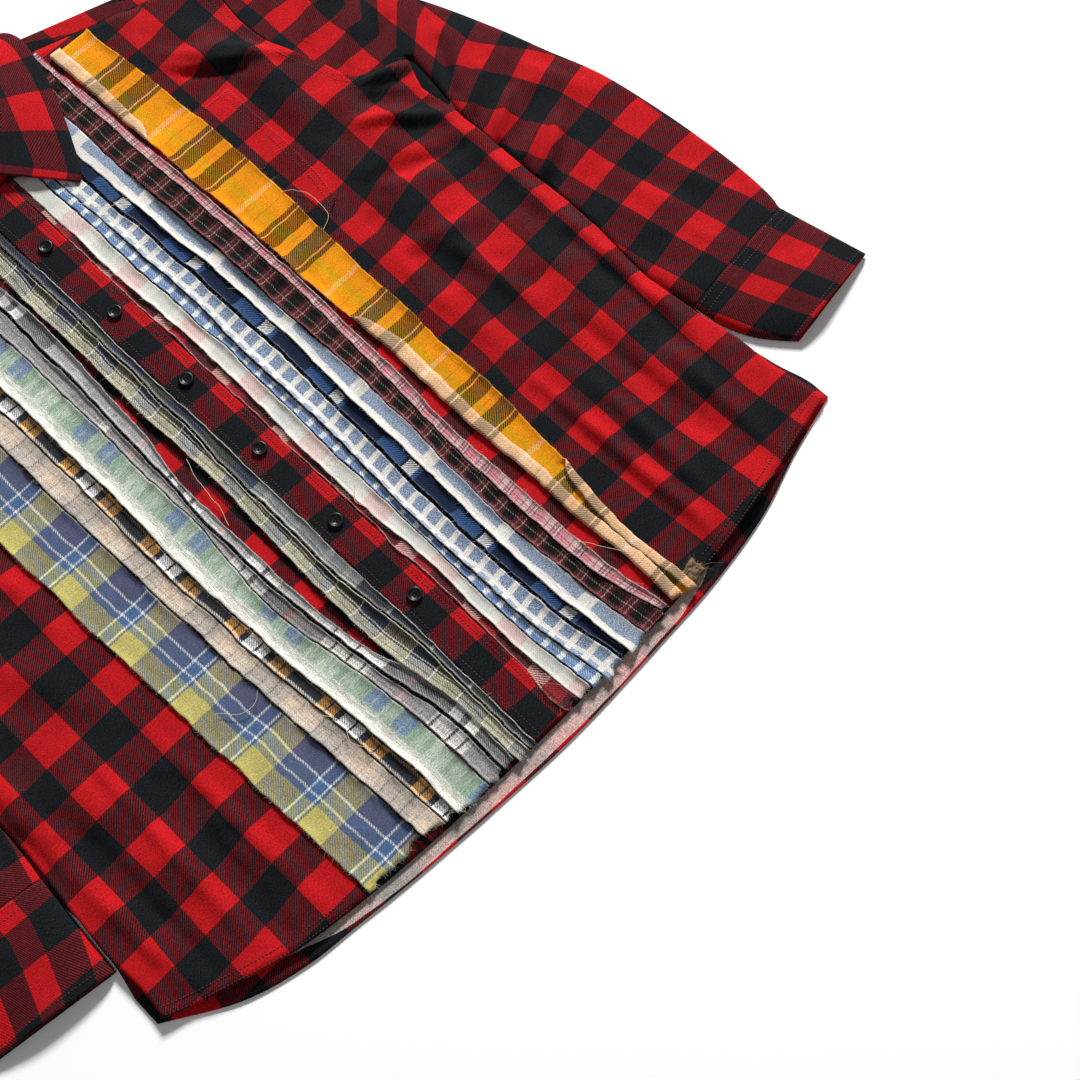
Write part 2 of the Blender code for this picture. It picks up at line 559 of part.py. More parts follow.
def make_collar():
    """The stand, a ring round the neck, and the leaf that folds down over it."""
    stand_rows, leaf_rows = [], []
    flip = np.array((-1.0, 1.0, 1.0))
    ring = []
    for number, rows in ((1.0, COLLAR), (flip, COLLAR[-2:0:-1])):
        for row in rows:
            places = {key: np.array(row[key], float) * number for key in ("low", "top", "edge")}
            ring.append({**places, "roll": row["roll"]})
    count = len(ring)
    for i, row in enumerate(ring):
        middle = (row["low"] + row["top"]) / 2
        stand_rows.append([row["low"], middle, row["top"]])
        along = ring[(i + 1) % count]["top"] - ring[i - 1]["top"]
        up = (row["top"] - row["low"]) / np.linalg.norm(row["top"] - row["low"])
        out = np.cross(along, up)
        out /= np.linalg.norm(out)
        rim = row["top"] + out * CUFF_CLOTH / 2
        # The leaf starts on the stand's rim, turns over it and runs out to its own edge.
        turn = [(np.sin(a), -np.cos(a)) for a in np.radians((60, 120, 180))]
        over = [rim + row["roll"] * (up * rise + out * off) for rise, off in turn]
        edge = row["edge"]
        half_way = over[-1] * 0.45 + edge * 0.55
        leaf_rows.append([edge, half_way, *reversed(over)])
    columns = list(zip(*stand_rows))
    cloth_object("collar_stand", [list(line) for line in columns], CUFF_CLOTH, RED_BLACK, closed=True)
    # The leaf is open at the centre of the front: its two ends lean apart to the points.
    start = np.array((STAND_END, 0.0, 0.0))
    first = [point + start * (i > 0) for i, point in enumerate(leaf_rows[0])]
    last = [point * flip for point in first]
    lines = [first, *leaf_rows[1:], last]
    cloth_object("collar", [list(line) for line in zip(*lines)], CLOTH, RED_BLACK)


def make_button(name, place, tilt):
    """A turned button with a raised rim. Its axis leans back by tilt about x."""
    bm = bmesh.new()
    profile = zip(BUTTON_PROFILE["radius"], BUTTON_PROFILE["height"])
    points = [bm.verts.new((radius, 0, height)) for radius, height in profile]
    lines = [bm.edges.new(pair) for pair in zip(points, points[1:])]
    bmesh.ops.spin(
        bm,
        geom=points + lines,
        cent=(0, 0, 0),
        axis=(0, 0, 1),
        angle=2 * np.pi,
        steps=BUTTON_SIDES,
        use_merge=True,
    )
    bmesh.ops.remove_doubles(bm, verts=bm.verts, dist=0.001)
    bmesh.ops.recalc_face_normals(bm, faces=bm.faces)
    bmesh.ops.rotate(bm, verts=bm.verts, cent=(0, 0, 0), matrix=Matrix.Rotation(tilt, 3, "X"))
    bmesh.ops.translate(bm, verts=bm.verts, vec=place)
    finish(name, bm, BUTTON_BLACK, roughness=0.3)


def make_buttons():
    """Six buttons on the placket and one on the collar stand."""
    on_placket = ON_FRONT_Z + CLOTH + SEAM
    for i in range(PLACKET_BUTTONS):
        make_button(f"button_{i + 1}", (0, LOWEST_BUTTON + BUTTON_PITCH * i, on_placket), 0.0)
    low, top = np.array(COLLAR[0]["low"], float), np.array(COLLAR[0]["top"], float)
    up = (top - low) / np.linalg.norm(top - low)
    out = np.array((0, -up[2], up[1]))
    seat = (low + top) / 2 + out * (CUFF_CLOTH + SEAM)
    make_button("button_7", tuple(seat), float(np.arcsin(up[2])))


def build():
    clear_scene()
    make_back()
    make_yoke()
    make_front("front_left", 1)
    make_front("front_right", -1)
    make_placket()
    make_pocket()
    for strip in STRIPS:
        make_strip(*strip)
    seam_shares = (armhole_steps() / armhole_steps()[-1])[1:-2]
    for name, side in (("left", 1), ("right", -1)):
        rings = SLEEVE_RINGS[name]
        tube_object(f"sleeve_{name}", rings, side, CLOTH, SLEEVE_FOLDS, seam_shares, armhole_line)
        tube_object(f"cuff_{name}", CUFF_RINGS[name], side, CUFF_CLOTH, [], CUFF_SHARES)
    make_collar()
    make_buttons()


build()
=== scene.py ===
"""How the flannel shirt looks: its cloths, raw edges, stitching, buttons and loose threads."""

import bmesh
import bpy
import numpy as np
from mathutils import Matrix, Vector


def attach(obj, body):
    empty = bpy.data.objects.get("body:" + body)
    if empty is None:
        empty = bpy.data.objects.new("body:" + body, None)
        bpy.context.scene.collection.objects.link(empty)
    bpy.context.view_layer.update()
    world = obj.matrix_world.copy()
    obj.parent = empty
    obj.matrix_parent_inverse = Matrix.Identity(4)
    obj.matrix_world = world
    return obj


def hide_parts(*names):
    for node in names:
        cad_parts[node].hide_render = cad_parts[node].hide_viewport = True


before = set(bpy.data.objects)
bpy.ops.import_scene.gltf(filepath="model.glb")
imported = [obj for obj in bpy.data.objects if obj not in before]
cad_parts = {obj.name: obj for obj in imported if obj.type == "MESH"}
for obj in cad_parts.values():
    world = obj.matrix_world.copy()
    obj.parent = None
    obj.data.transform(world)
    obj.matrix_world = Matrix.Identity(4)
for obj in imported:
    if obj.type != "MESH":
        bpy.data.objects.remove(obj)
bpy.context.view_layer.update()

# The drafting frame is in millimetres: x = 0 is the line of the buttons, +x is the wearer's
# left, +y runs towards the collar and z = 0 is the surface that the shirt lies on.
ORIGIN = np.array((8.0, 282.103, 0.0))
MM = 0.001

# ---------------------------------------------------------------- the shirt's own sizes
CLOTH = 1.5
CUFF_CLOTH = 2.0
STRIP_CLOTH = 1.2
SEAM = 0.3
HOLLOW = 1.1
FRONT_Z = CLOTH + HOLLOW
FRONT_TOP = FRONT_Z + CLOTH
ON_FRONT_Z = FRONT_TOP + SEAM
POCKET_STEP = CLOTH + SEAM
HPS = (88.0, 680.0)
SHOULDER_TIP = (290.0, 618.0)
FORWARD_SEAM = 20.0
YOKE_SEAM_Y = 560.0
CENTRE_NECK_Y = 563.0
BACK_NECK_Y = 655.0
STRIP_AREA = 180.0
PLACKET_HALF = 17.3
PLACKET_END = -112.8
HEM_BAND = 9.0

FRONT_NECK = {"x": (0, 30, 55, 72, 82, 88), "y": (563, 567, 580, 600, 630, 660)}
SIDE_LEFT = {
    "y": (-82, -60, -30, 0, 30, 60, 100, 130, 160, 200, 240, 300, 345, 372, 404),
    "x": (360, 357, 351.5, 346, 342.5, 339.5, 335.5, 338.5, 342, 343.5, 341.5, 341, 340, 337, 349),
}
SIDE_RIGHT = {
    "y": (-58, -10, 45, 100, 160, 200, 300, 345, 372, 404),
    "x": (355, 350, 346, 342, 342, 343, 341, 340, 337, 349),
}
ARMHOLE = {
    "y": (404, 414, 420, 430, 455, 480, 504, 540, 575, 598, 618),
    "x": (349, 322, 304, 297, 291, 282, 275, 273, 278, 284, 290),
}
UNDERARM_Y = ARMHOLE["y"][0]
FRONT_HEM = {
    "x": (-355, -340, -300, -250, -200, -150, -20, 100, 175, 200, 250, 300, 340, 360),
    "y": (-58, -65, -80, -95, -103, -108, -114, -114, -112, -110, -103, -93, -85, -82),
}
BACK_HEM = {
    "x": (-355, -300, -250, -210, -150, -100, 0, 100, 180, 250, 300, 360),
    "y": (-60, -93, -108, -113, -120, -124, -130, -128, -124, -113, -98, -84),
}
# A fold: where it starts and ends, how high it is and half its width.
FRONT_FOLDS = [
    ((329, 352), (326, 30), 5.0, 11.0),
    ((326, 388), (236, 322), 4.2, 12.0),
    ((318, 330), (214, 258), 3.4, 14.0),
    ((262, 250), (196, 150), 3.2, 13.0),
    ((184, 572), (270, 490), 6.0, 10.0),
    ((272, 560), (232, 400), 3.0, 15.0),
    ((292, 190), (276, -20), 2.6, 14.0),
    ((226, 120), (232, -40), 2.2, 13.0),
    ((-328, 345), (-327, 20), 4.6, 12.0),
    ((-322, 384), (-240, 318), 4.0, 13.0),
    ((-270, 262), (-226, 120), 3.2, 15.0),
    ((-238, 560), (-262, 420), 3.6, 14.0),
    ((-292, 150), (-270, -30), 2.8, 15.0),
]
# Smaller creases of the cloth itself, which the solid leaves out. Troughs are below zero.
FINE_FOLDS = {
    1: [
        ((170, 578), (218, 520), 1.8, 4.5),
        ((206, 532), (266, 494), 1.6, 5.0),
        ((196, 536), (244, 496), -2.4, 6.0),
        ((228, 548), (286, 470), 2.0, 7.0),
        ((300, 412), (352, 394), 3.4, 5.0),
        ((286, 402), (345, 352), -3.4, 6.0),
        ((262, 392), (338, 330), 3.2, 6.0),
        ((222, 340), (330, 296), -2.6, 8.0),
        ((200, 268), (300, 236), 1.4, 8.0),
        ((200, 110), (204, -96), 1.9, 6.0),
        ((189, 90), (191, -80), -1.5, 5.0),
        ((234, 70), (224, -92), 1.8, 7.0),
        ((262, 120), (268, -60), -1.6, 7.0),
        ((297, 60), (291, -90), 1.6, 7.0),
        ((318, 180), (312, -20), -1.5, 6.0),
        ((240, 250), (252, 140), 1.5, 8.0),
    ],
    -1: [
        ((-216, 120), (-212, -90), 1.6, 7.0),
        ((-238, 90), (-246, -96), -1.6, 7.0),
        ((-262, 140), (-268, -70), 1.7, 6.0),
        ((-308, 110), (-300, -80), -1.5, 7.0),
        ((-328, 90), (-322, -60), 1.4, 6.0),
        ((-216, 400), (-318, 330), -2.2, 7.0),
        ((-220, 300), (-330, 262), 1.8, 7.0),
        ((-214, 560), (-262, 486), 2.6, 6.0),
    ],
}
SLEEVE_RINGS = {
    "left": {
        "inner_x": (
            349.8, 351.6, 353, 353.6, 353, 350, 345, 342, 342.4, 344.2, 342.4, 337.4, 340.6, 343.4,
        ),
        "inner_y": (403.8, 405.5, 405, 402.5, 396, 374, 345, 312, 264, 206, 154, 106, 68, 50.8),
        "outer_x": (290.8, 322, 353, 383, 408, 428, 436.5, 444, 459, 467, 471, 472, 470, 466),
        "outer_y": (617.8, 578, 532, 483, 430, 374, 346, 319, 269, 212, 160, 113, 80, 62.8),
        "high": (4.1, 4.1, 4.6, 5.4, 5.8, 6, 6.2, 6.2, 6, 5.4, 5, 6, 9.8, 10.4),
    },
    "right": {
        "inner_x": (
            349.8, 351.6, 353, 353.6, 353, 350, 345, 342.4, 343, 344.2, 343.4, 343.4, 345.2, 347.2,
        ),
        "inner_y": (403.8, 405.5, 405, 402.5, 396, 375, 346, 316, 272, 222, 172, 128, 96, 79.6),
        "outer_x": (290.8, 320, 350, 380, 405, 425, 434.5, 442, 455, 463, 467, 467, 464, 459.5),
        "outer_y": (617.8, 580, 536, 488, 436, 380, 352, 326, 280, 230, 182, 138, 106, 89.6),
        "high": (4.1, 4.1, 4.6, 5.4, 5.8, 6, 6.2, 6, 5.6, 5.2, 5.2, 6.2, 9.8, 10.4),
    },
}
CUFF_RINGS = {
    "left": {
        "inner_x": (343.2, 346.6, 356.5, 368.5, 380),
        "inner_y": (50.3, 22, -3, -20, -33.5),
        "outer_x": (466.1, 470.5, 475, 479.2, 483),
        "outer_y": (62.42, 41, 19, -1, -20),
        "high": (10.4, 11, 11.4, 11.8, 12.2),
    },
    "right": {
        "inner_x": (347.8, 348.2, 349.4, 350.6, 351.8),
        "inner_y": (79.2, 56, 33, 11, -11),
        "outer_x": (459.6, 459.4, 458.6, 457.4, 456),
        "outer_y": (89.22, 68, 46, 25, 4),
        "high": (10.4, 11, 11.4, 11.8, 12.2),
    },
}
SLEEVE_FOLDS = [
    ((349, 231), (404, 268), 4.5, 8.0),
    ((350, 290), (394, 316), 4.0, 8.0),
    ((356, 346), (410, 398), 3.4, 9.0),
    ((404, 316), (450, 240), 2.4, 11.0),
    ((384, 200), (410, 112), 2.2, 12.0),
    ((338, 218), (402, 266), 4.8, 4.5),
    ((340, 208), (396, 244), -3.4, 5.0),
    ((338, 250), (384, 268), 3.0, 4.5),
    ((338, 278), (388, 314), 5.0, 4.5),
    ((344, 268), (404, 296), -3.6, 5.5),
    ((346, 316), (394, 354), 4.0, 5.0),
    ((348, 344), (386, 400), -3.4, 5.5),
    ((412, 330), (440, 268), 1.8, 6.0),
    ((366, 180), (384, 92), 1.8, 7.0),
    ((400, 190), (428, 100), -1.8, 7.0),
    ((430, 170), (448, 84), 1.6, 7.0),
    ((352, 150), (362, 80), -1.5, 6.0),
    ((396, 120), (402, 66), 1.6, 5.0),
    ((280, 512), (326, 556), 3.6, 5.0),
    ((284, 494), (338, 540), -3.2, 5.5),
    ((288, 474), (346, 524), 4.4, 5.0),
    ((294, 458), (350, 500), -3.4, 6.0),
    ((304, 440), (362, 480), 4.0, 5.5),
    ((316, 424), (372, 448), -3.0, 6.0),
]
ARMHOLE_GAP = 0.8
EDGE_ROUND = 5.0
COLLAR = {
    "low": (
        (0, 563, 4.5), (20, 564.8, 4.5), (42, 572.8, 4.5), (62.5, 588, 4.5), (77, 612.5, 4.5),
        (85, 640, 4.5), (87.5, 660, 4.6), (87.5, 670, 4.8), (83, 674.5, 4.8), (75, 672, 4.5),
        (64, 667, 4.3), (36, 659, 4.1), (0, 654.8, 4.0),
    ),
    "top": (
        (0, 584, 12.5), (18, 586, 12.8), (38, 593, 13.2), (55, 607, 13.4), (67, 628, 13.2),
        (74, 653, 12.4), (77, 672, 11.4), (78, 682, 10.2), (75, 688.5, 8.4), (69, 691, 6.6),
        (60, 691, 5.4), (34, 690, 4.3), (0, 688, 4.0),
    ),
    "edge": (
        (62, 514, 6.3), (70, 522, 6.3), (85, 552, 6.3), (98, 582, 6.4), (110, 614, 6.4),
        (118, 644, 6.4), (121, 664, 6.2), (117, 680, 5.2), (104, 690, 3.6), (89, 689.5, 2.2),
        (74, 680, 1.6), (38, 662.5, 1.6), (0, 656.2, 1.6),
    ),
    "roll": (3.0, 3.0, 3.0, 3.0, 3.0, 3.0, 2.6, 2.2, 1.8, 1.6, 1.4, 1.4, 1.4),
}
STAND_END = 1.4
BUTTON_PITCH = 89.7
LOWEST_BUTTON = 37.5
PLACKET_BUTTONS = 6

# The raw edges between the strips: x on each of these heights above and below the hem line.
HEIGHTS = (-112, -50, 20, 100, 200, 300, 400, 500, 620)
EDGES = {
    "orange_right": (160, 157, 163.5, 171, 172, 175, 178, 177, 171),
    "orange_left": (136, 140, 136, 134, 135, 132, 131, 129, 127),
    "pink_right": (133, 126, 123.5, 122, 127, 130, 129, 127.5, 124),
    "pink_left": (126, 112, 110, 110.5, 117, 121, 119, 118, 116),
    "tartan_left": (104, 98, 93, 97, 101, 100, 99, 97, 96),
    "white_left": (84, 77, 77.5, 79, 81.5, 85, 83, 78, 77),
    "navy_left": (76, 67, 65, 66.5, 70, 71.5, 70, 67, 65),
    "gingham_left": (55, 47, 45, 46, 50, 51, 52, 49, 48),
    "under_left": (42, 38.5, 38, 39.5, 41, 42.5, 41.5, 40.5, 40),
    "cream_left": (28, 24, 27, 24, 24, 27, 24, 24, 24),
    "fringe_left": (18,) * len(HEIGHTS),
    "slate_right": (-18.2,) * len(HEIGHTS),
    "olive_right": (-26, -27, -27, -28.5, -28.5, -26, -26, -26, -26),
    "olive_left": (-38, -38, -48, -49, -45, -46, -46, -46, -46),
    "check_right": (-39, -39, -49, -58, -61, -56, -50, -50, -50),
    "check_left": (-51, -51, -63, -73, -74, -70, -66, -66, -66),
    "grey_left": (-65, -67, -73, -86, -79, -80, -80, -80, -80),
    "green_left": (-98, -98, -103, -109, -111.5, -111, -111, -111, -111),
    "brown_left": (-109.5, -111.5, -115, -121.5, -124, -124, -124, -124, -124),
    "beige_left": (-127.5, -130.5, -135, -138.5, -142, -144, -145, -145, -145),
    "blue_left": (-184, -187, -190, -192, -196.5, -198, -199, -199, -199),
}

# Where the check's bands change colour. A band's own number tells its colour: red bands are
# even. The crossings follow the cloth's folds, so the bands aren't quite straight.
CHECK_BAND = (33.0, 28.5)  # the real width of a band across and along the cloth
LEFT_COLUMNS = {
    "at": (-90, -30, 40, 100, 150, 210, 260, 330, 420),
    0: (126, 124, 122, 122, 122, 122, 122, 122, 122),
    1: (160, 157, 155, 155, 155, 155, 155, 155, 155),
    2: (192, 187.5, 184.5, 184, 190, 187, 188, 189, 189),
    3: (219.5, 216, 219, 219, 218, 221, 222, 222, 222),
    4: (256, 251, 247.5, 247, 247, 251, 256, 260, 261),
    5: (287, 284, 283.5, 284, 285, 287, 289, 294, 297),
    6: (324, 316.5, 318, 321, 323, 325, 326, 328, 330),
}
LEFT_ROWS = {
    "at": (130, 205, 270, 318),
    0: (-90, -95, -98, -100),
    1: (-63, -67, -72, -73),
    2: (-36, -38, -43, -44),
    3: (-9, -9, -14, -16),
    4: (19, 20, 15, 15),
    5: (48, 49, 44, 45),
    6: (76, 76, 73, 75),
    7: (103, 105, 103, 108),
    8: (131, 136, 132, 138),
    9: (159, 165, 162, 168),
    10: (187, 184, 192, 197),
    11: (214, 213, 222, 226),
    12: (243, 243, 252, 253),
    13: (272, 274, 282, 278),
    14: (299, 295, 309, 308),
    15: (325, 321, 337, 334),
    16: (353, 350, 358, 364),
    17: (383, 382, 387, 391),
    18: (412, 412, 419, 420),
    19: (442, 443, 449, 450),
    20: (471, 472, 479, 480),
    21: (499, 500, 508, 509),
}
RIGHT_COLUMNS = {
    "at": (-60, 20, 100, 200),
    0: (-354, -347, -347, -350),
    1: (-320, -315, -316, -318),
    2: (-289, -287, -290, -290),
    3: (-254, -255, -256, -257),
    4: (-219, -221, -221, -222),
    5: (-186, -187, -187, -187),
    6: (-152, -152, -152, -152),
    7: (-118, -118, -118, -118),
    8: (-85, -85, -85, -85),
    9: (-52, -52, -52, -52),
    10: (-13, -13, -13, -13),
}
RIGHT_ROWS = {
    "at": (-330, -275, -210, -60),
    0: (-95, -95, -92, -90),
    1: (-68, -67, -61, -60),
    2: (-39, -39, -35, -32),
    3: (-11, -10, -4, -3),
    4: (21, 19, 25, 25),
    5: (51, 50, 54, 54),
    6: (80, 82, 85, 84),
    7: (110, 111, 111, 112),
    8: (138, 139, 140, 138),
    9: (167, 168, 169, 168),
    10: (196, 197, 197, 197),
    11: (225, 225, 226, 225),
}
SLEEVE_COLUMNS = {
    "at": (54, 90, 115, 150, 200, 240, 280, 325, 375),
    0: (326, 319, 314, 309, 301, 293, 278, 255, 223),
    1: (358, 351, 346, 341, 333, 325, 310, 288, 257),
    2: (390, 384, 380, 374.5, 365.5, 358, 345, 322, 290),
    3: (422, 417.5, 413.5, 406.5, 396.5, 392, 378, 356, 330),
    4: (458, 454, 446, 439, 430, 425.5, 418, 399, 367),
    5: (492, 488, 481, 473, 464, 463, 458, 436, 400),
}
SLEEVE_ROWS = {
    "at": (350, 385, 450),
    0: (22, 25, 28),
    1: (50, 52, 57),
    2: (78, 79.5, 86.5),
    3: (102, 109, 114),
    4: (130, 136.5, 141.5),
    5: (160, 164, 169),
    6: (187, 192, 199),
    7: (214, 219.5, 227),
    8: (238, 246, 256),
    9: (254, 268, 285),
    10: (283, 290, 312),
    11: (302, 316, 341),
    12: (330, 345, 370),
    13: (352, 372, 398),
}
CUFF_COLUMNS = {
    "at": (-30, 5, 36, 60),
    0: (348, 336, 326, 322),
    1: (375, 360, 349, 345),
    2: (402, 388, 377, 371),
    3: (421, 408, 397, 391),
    4: (442, 430, 420, 414),
    5: (467, 458, 448, 442),
    6: (486, 482, 474, 468),
}
CUFF_ROWS = {
    "at": (360, 400, 440, 470),
    0: (-58, -56, -54, -50),
    1: (-28, -26, -24, -20),
    2: (3, 4, 6, 12),
    3: (32, 36, 41, 43),
    4: (64, 66, 72, 76),
}
PLACKET_COLUMNS = {"at": (0, 1), 0: (-58, -58), 1: (-25, -25), 2: (8, 8), 3: (41, 41)}
PLACKET_ROWS = {
    "at": (-17, 17),
    0: (-138, -138), 1: (-110, -110), 2: (-80, -82), 3: (-52, -53), 4: (-22, -24), 5: (8, 6),
    6: (33, 31), 7: (60, 58), 8: (89, 87), 9: (117, 115), 10: (144, 142), 11: (174, 172),
    12: (199, 198), 13: (227, 226), 14: (257, 255), 15: (288, 286), 16: (316, 313), 17: (348, 341),
    18: (373, 367), 19: (399, 395), 20: (424, 422), 21: (453, 451), 22: (481, 479),
    23: (509, 507), 24: (537, 535), 25: (565, 563),
}


# ---------------------------------------------------------------- curves and soft noise
def curve(keys, values, at):
    """A smooth curve through a table's rows, level beyond its ends."""
    keys, values, at = np.asarray(keys, float), np.asarray(values, float), np.asarray(at, float)
    slopes = np.gradient(values, keys)
    i = np.clip(np.searchsorted(keys, at) - 1, 0, len(keys) - 2)
    span = keys[i + 1] - keys[i]
    t = np.clip((at - keys[i]) / span, 0, 1)
    return (
        values[i] * (1 + 2 * t) * (1 - t) ** 2
        + values[i + 1] * (3 - 2 * t) * t**2
        + span * (slopes[i] * t * (1 - t) ** 2 - slopes[i + 1] * (1 - t) * t**2)
    )


def ease(value, low, high):
    """0 up to low, 1 from high on, and smooth between them."""
    t = np.clip((np.asarray(value, float) - low) / (high - low), 0, 1)
    return t * t * (3 - 2 * t)


def plateau(value, rise, fall):
    """1 between two smooth slopes and 0 beyond them."""
    return ease(value, *rise) * (1 - ease(value, *fall))


def wave(at, pitch, seed):
    """Smooth random values from -1 to 1 along a line, with a new one every pitch."""
    table = np.random.default_rng(seed).uniform(-1, 1, 1024)
    k = np.asarray(at, float) / pitch + 400
    i = np.floor(k).astype(int) % 1023
    f = k - np.floor(k)
    f = f * f * (3 - 2 * f)
    return table[i] * (1 - f) + table[i + 1] * f


def field(x, y, pitch, seed):
    """Smooth random values from -1 to 1 over a plane."""
    table = np.random.default_rng(seed).uniform(-1, 1, (128, 128))
    u, v = np.asarray(x, float) / pitch + 64, np.asarray(y, float) / pitch + 64
    i, j = np.floor(u).astype(int) % 127, np.floor(v).astype(int) % 127
    f, g = u - np.floor(u), v - np.floor(v)
    f, g = f * f * (3 - 2 * f), g * g * (3 - 2 * g)
    low = table[i, j] * (1 - f) + table[i + 1, j] * f
    high = table[i, j + 1] * (1 - f) + table[i + 1, j + 1] * f
    return low * (1 - g) + high * g


def spots(x, y, z):
    """Points from their coordinates, of which any may be one number for them all."""
    return np.stack(np.broadcast_arrays(x, y, z), axis=-1).astype(float)


def lengths_along(line):
    """How far along a line each of its points lies."""
    return np.concatenate([[0], np.cumsum(np.linalg.norm(np.diff(line, axis=0), axis=1))])


def points_at(at, steps, line):
    """The places on a line of points at given lengths along it."""
    return np.stack([np.interp(at, steps, line[:, k]) for k in range(3)], axis=1)


def lattice(value, other, table):
    """Which band a place lies in, as a running number, from a table of the bands' borders."""
    borders = np.array([np.interp(other, table["at"], table[k]) for k in range(len(table) - 1)])
    steps = np.diff(borders, axis=0)
    inside = np.clip((value - borders[:-1]) / steps, 0, 1).sum(axis=0)
    below = np.minimum(0, (value - borders[0]) / steps[0])
    above = np.maximum(0, (value - borders[-1]) / steps[-1])
    return inside + below + above


def check_at(x, y, columns, rows):
    """The place on the check cloth, in millimetres, that lies at one place of the shirt."""
    across = lattice(x, y, columns) * CHECK_BAND[0]
    along = lattice(y, x, rows) * CHECK_BAND[1]
    return np.stack([across, along], axis=-1)


# ---------------------------------------------------------------- the shirt's own shape
def shoulder_y(x):
    share = (np.abs(x) - HPS[0]) / (SHOULDER_TIP[0] - HPS[0])
    return HPS[1] + (SHOULDER_TIP[1] - HPS[1]) * share


def front_top(x):
    neck = np.interp(np.abs(x), FRONT_NECK["x"], FRONT_NECK["y"])
    return np.where(np.abs(x) <= HPS[0], neck, shoulder_y(x) - FORWARD_SEAM)


def body_edge(y, side):
    table = SIDE_LEFT if side > 0 else SIDE_RIGHT
    low = np.interp(y, table["y"], table["x"])
    return np.where(np.asarray(y) < UNDERARM_Y, low, np.interp(y, ARMHOLE["y"], ARMHOLE["x"]))


def ridges(x, y, folds):
    """The height that creases add at each place."""
    total = np.zeros(np.broadcast(x, y).shape)
    for start, end, high, half in folds:
        start, end = np.array(start, float), np.array(end, float)
        run = end - start
        along = ((x - start[0]) * run[0] + (y - start[1]) * run[1]) / (run @ run)
        away = np.hypot(x - start[0] - run[0] * along, y - start[1] - run[1] * along)
        taper = np.sin(np.pi * np.clip(along, 0, 1)) ** 0.6
        total += high * np.exp(-((away / half) ** 2)) * taper
    return total


def under_pocket(y, side):
    return plateau(y, (300, 325), (500, 525)) * (side > 0)


def front_z(x, y, side):
    """The inside of a front, as the solid has it."""
    calm = STRIP_AREA + 6 + 34 * under_pocket(y, side)
    folds = ridges(x, y, FRONT_FOLDS) * ease((np.abs(x) - calm) / 22, 0, 1)
    edge = body_edge(y, side) - np.abs(x)
    below = CLOTH + SEAM + (FRONT_Z - CLOTH - SEAM + folds) * ease(edge, -1, 12)
    above = FRONT_Z + folds * ease(edge, 2, 22)
    return np.where(np.asarray(y) < UNDERARM_Y, below, above)


def creases(x, y, side):
    """Soft rumples of washed flannel, over the solid's folds and clear of what lies on it."""
    calm = STRIP_AREA + 4 + 36 * under_pocket(y, side) + 18 * (side < 0)
    free = ease(np.abs(x), calm, calm + 20)
    long = 2.7 * field(x + 0.08 * y, 0.28 * y, 30, 3)
    rumple = 1.9 * field(x, y, 50, 6) + 1.15 * field(x + 0.4 * y, y, 20, 4)
    sharp = 2.4 * ridges(x, y, FINE_FOLDS[side])
    return (1.8 + long + rumple + 0.25 * field(x, y, 8, 5) + sharp) * free


def front_middle(x, y, side):
    """The middle of a front's cloth, never down in the back's."""
    return np.maximum(front_z(x, y, side) + creases(x, y, side), CLOTH + 0.15) + CLOTH / 2


# ---------------------------------------------------------------- materials
def linear(colour):
    """An sRGB hex colour as linear light."""
    parts = [int(colour[i : i + 2], 16) / 255 for i in (1, 3, 5)]
    return (*(c / 12.92 if c <= 0.04045 else ((c + 0.055) / 1.055) ** 2.4 for c in parts), 1.0)


def add(tree, kind, inputs=None, **settings):
    """Adds one node, with its settings and with values or links for its inputs. A node in the
    place of a value stands for the first of its outputs that it uses."""
    made = tree.nodes.new(kind)
    for key, value in settings.items():
        setattr(made, key, value)
    for key, value in (inputs or {}).items():
        if isinstance(value, bpy.types.Node):
            value = next(socket for socket in value.outputs if socket.enabled)
        if isinstance(value, bpy.types.NodeSocket):
            tree.links.new(value, made.inputs[key])
        else:
            made.inputs[key].default_value = value
    return made


def start_material(name, roughness, **sockets):
    """A new Principled material with no more than its own constants."""
    made = bpy.data.materials.new(name)
    made.use_nodes = True
    shader = made.node_tree.nodes["Principled BSDF"]
    shader.inputs["Roughness"].default_value = roughness
    for socket, value in sockets.items():
        shader.inputs[socket.replace("_", " ")].default_value = value
    return made, made.node_tree, shader


def bands(tree, place, table):
    """The colours of a repeat of threads, from the widths of its bands in millimetres."""
    total = sum(width for width, _ in table)
    share = add(tree, "ShaderNodeMath", {0: place, 1: total}, operation="DIVIDE")
    share = add(tree, "ShaderNodeMath", {0: share}, operation="FRACT")
    ramp = add(tree, "ShaderNodeValToRGB", {0: share})
    ramp.color_ramp.interpolation = "CONSTANT"
    elements = ramp.color_ramp.elements
    elements.remove(elements[1])
    at = 0.0
    for width, colour in table:
        element = elements.new(at / total) if at else elements[0]
        element.color = linear(colour)
        at += width
    return ramp


# Brushed cotton flannel is a soft twill with a raised nap: very matt, with a faint sheen of
# loose fibres. Its wale is about 1 mm, and is drawn at 1.7 mm so that it shows.
WALE = 2.4  # measured across and along the cloth, so 1.7 mm between the lines


def streaks(tree, cloth, scale, low, high):
    """Uneven yarn: a value that changes slowly along the threads and quickly across them."""
    drawn = add(tree, "ShaderNodeVectorMath", {0: cloth, 1: scale}, operation="MULTIPLY")
    noise = {"Vector": drawn, "Scale": 1.0, "Detail": 3.0, "Roughness": 0.65}
    noise = add(tree, "ShaderNodeTexNoise", noise)
    return add(tree, "ShaderNodeMapRange", {0: noise, 1: 0.32, 2: 0.68, 3: low, 4: high})


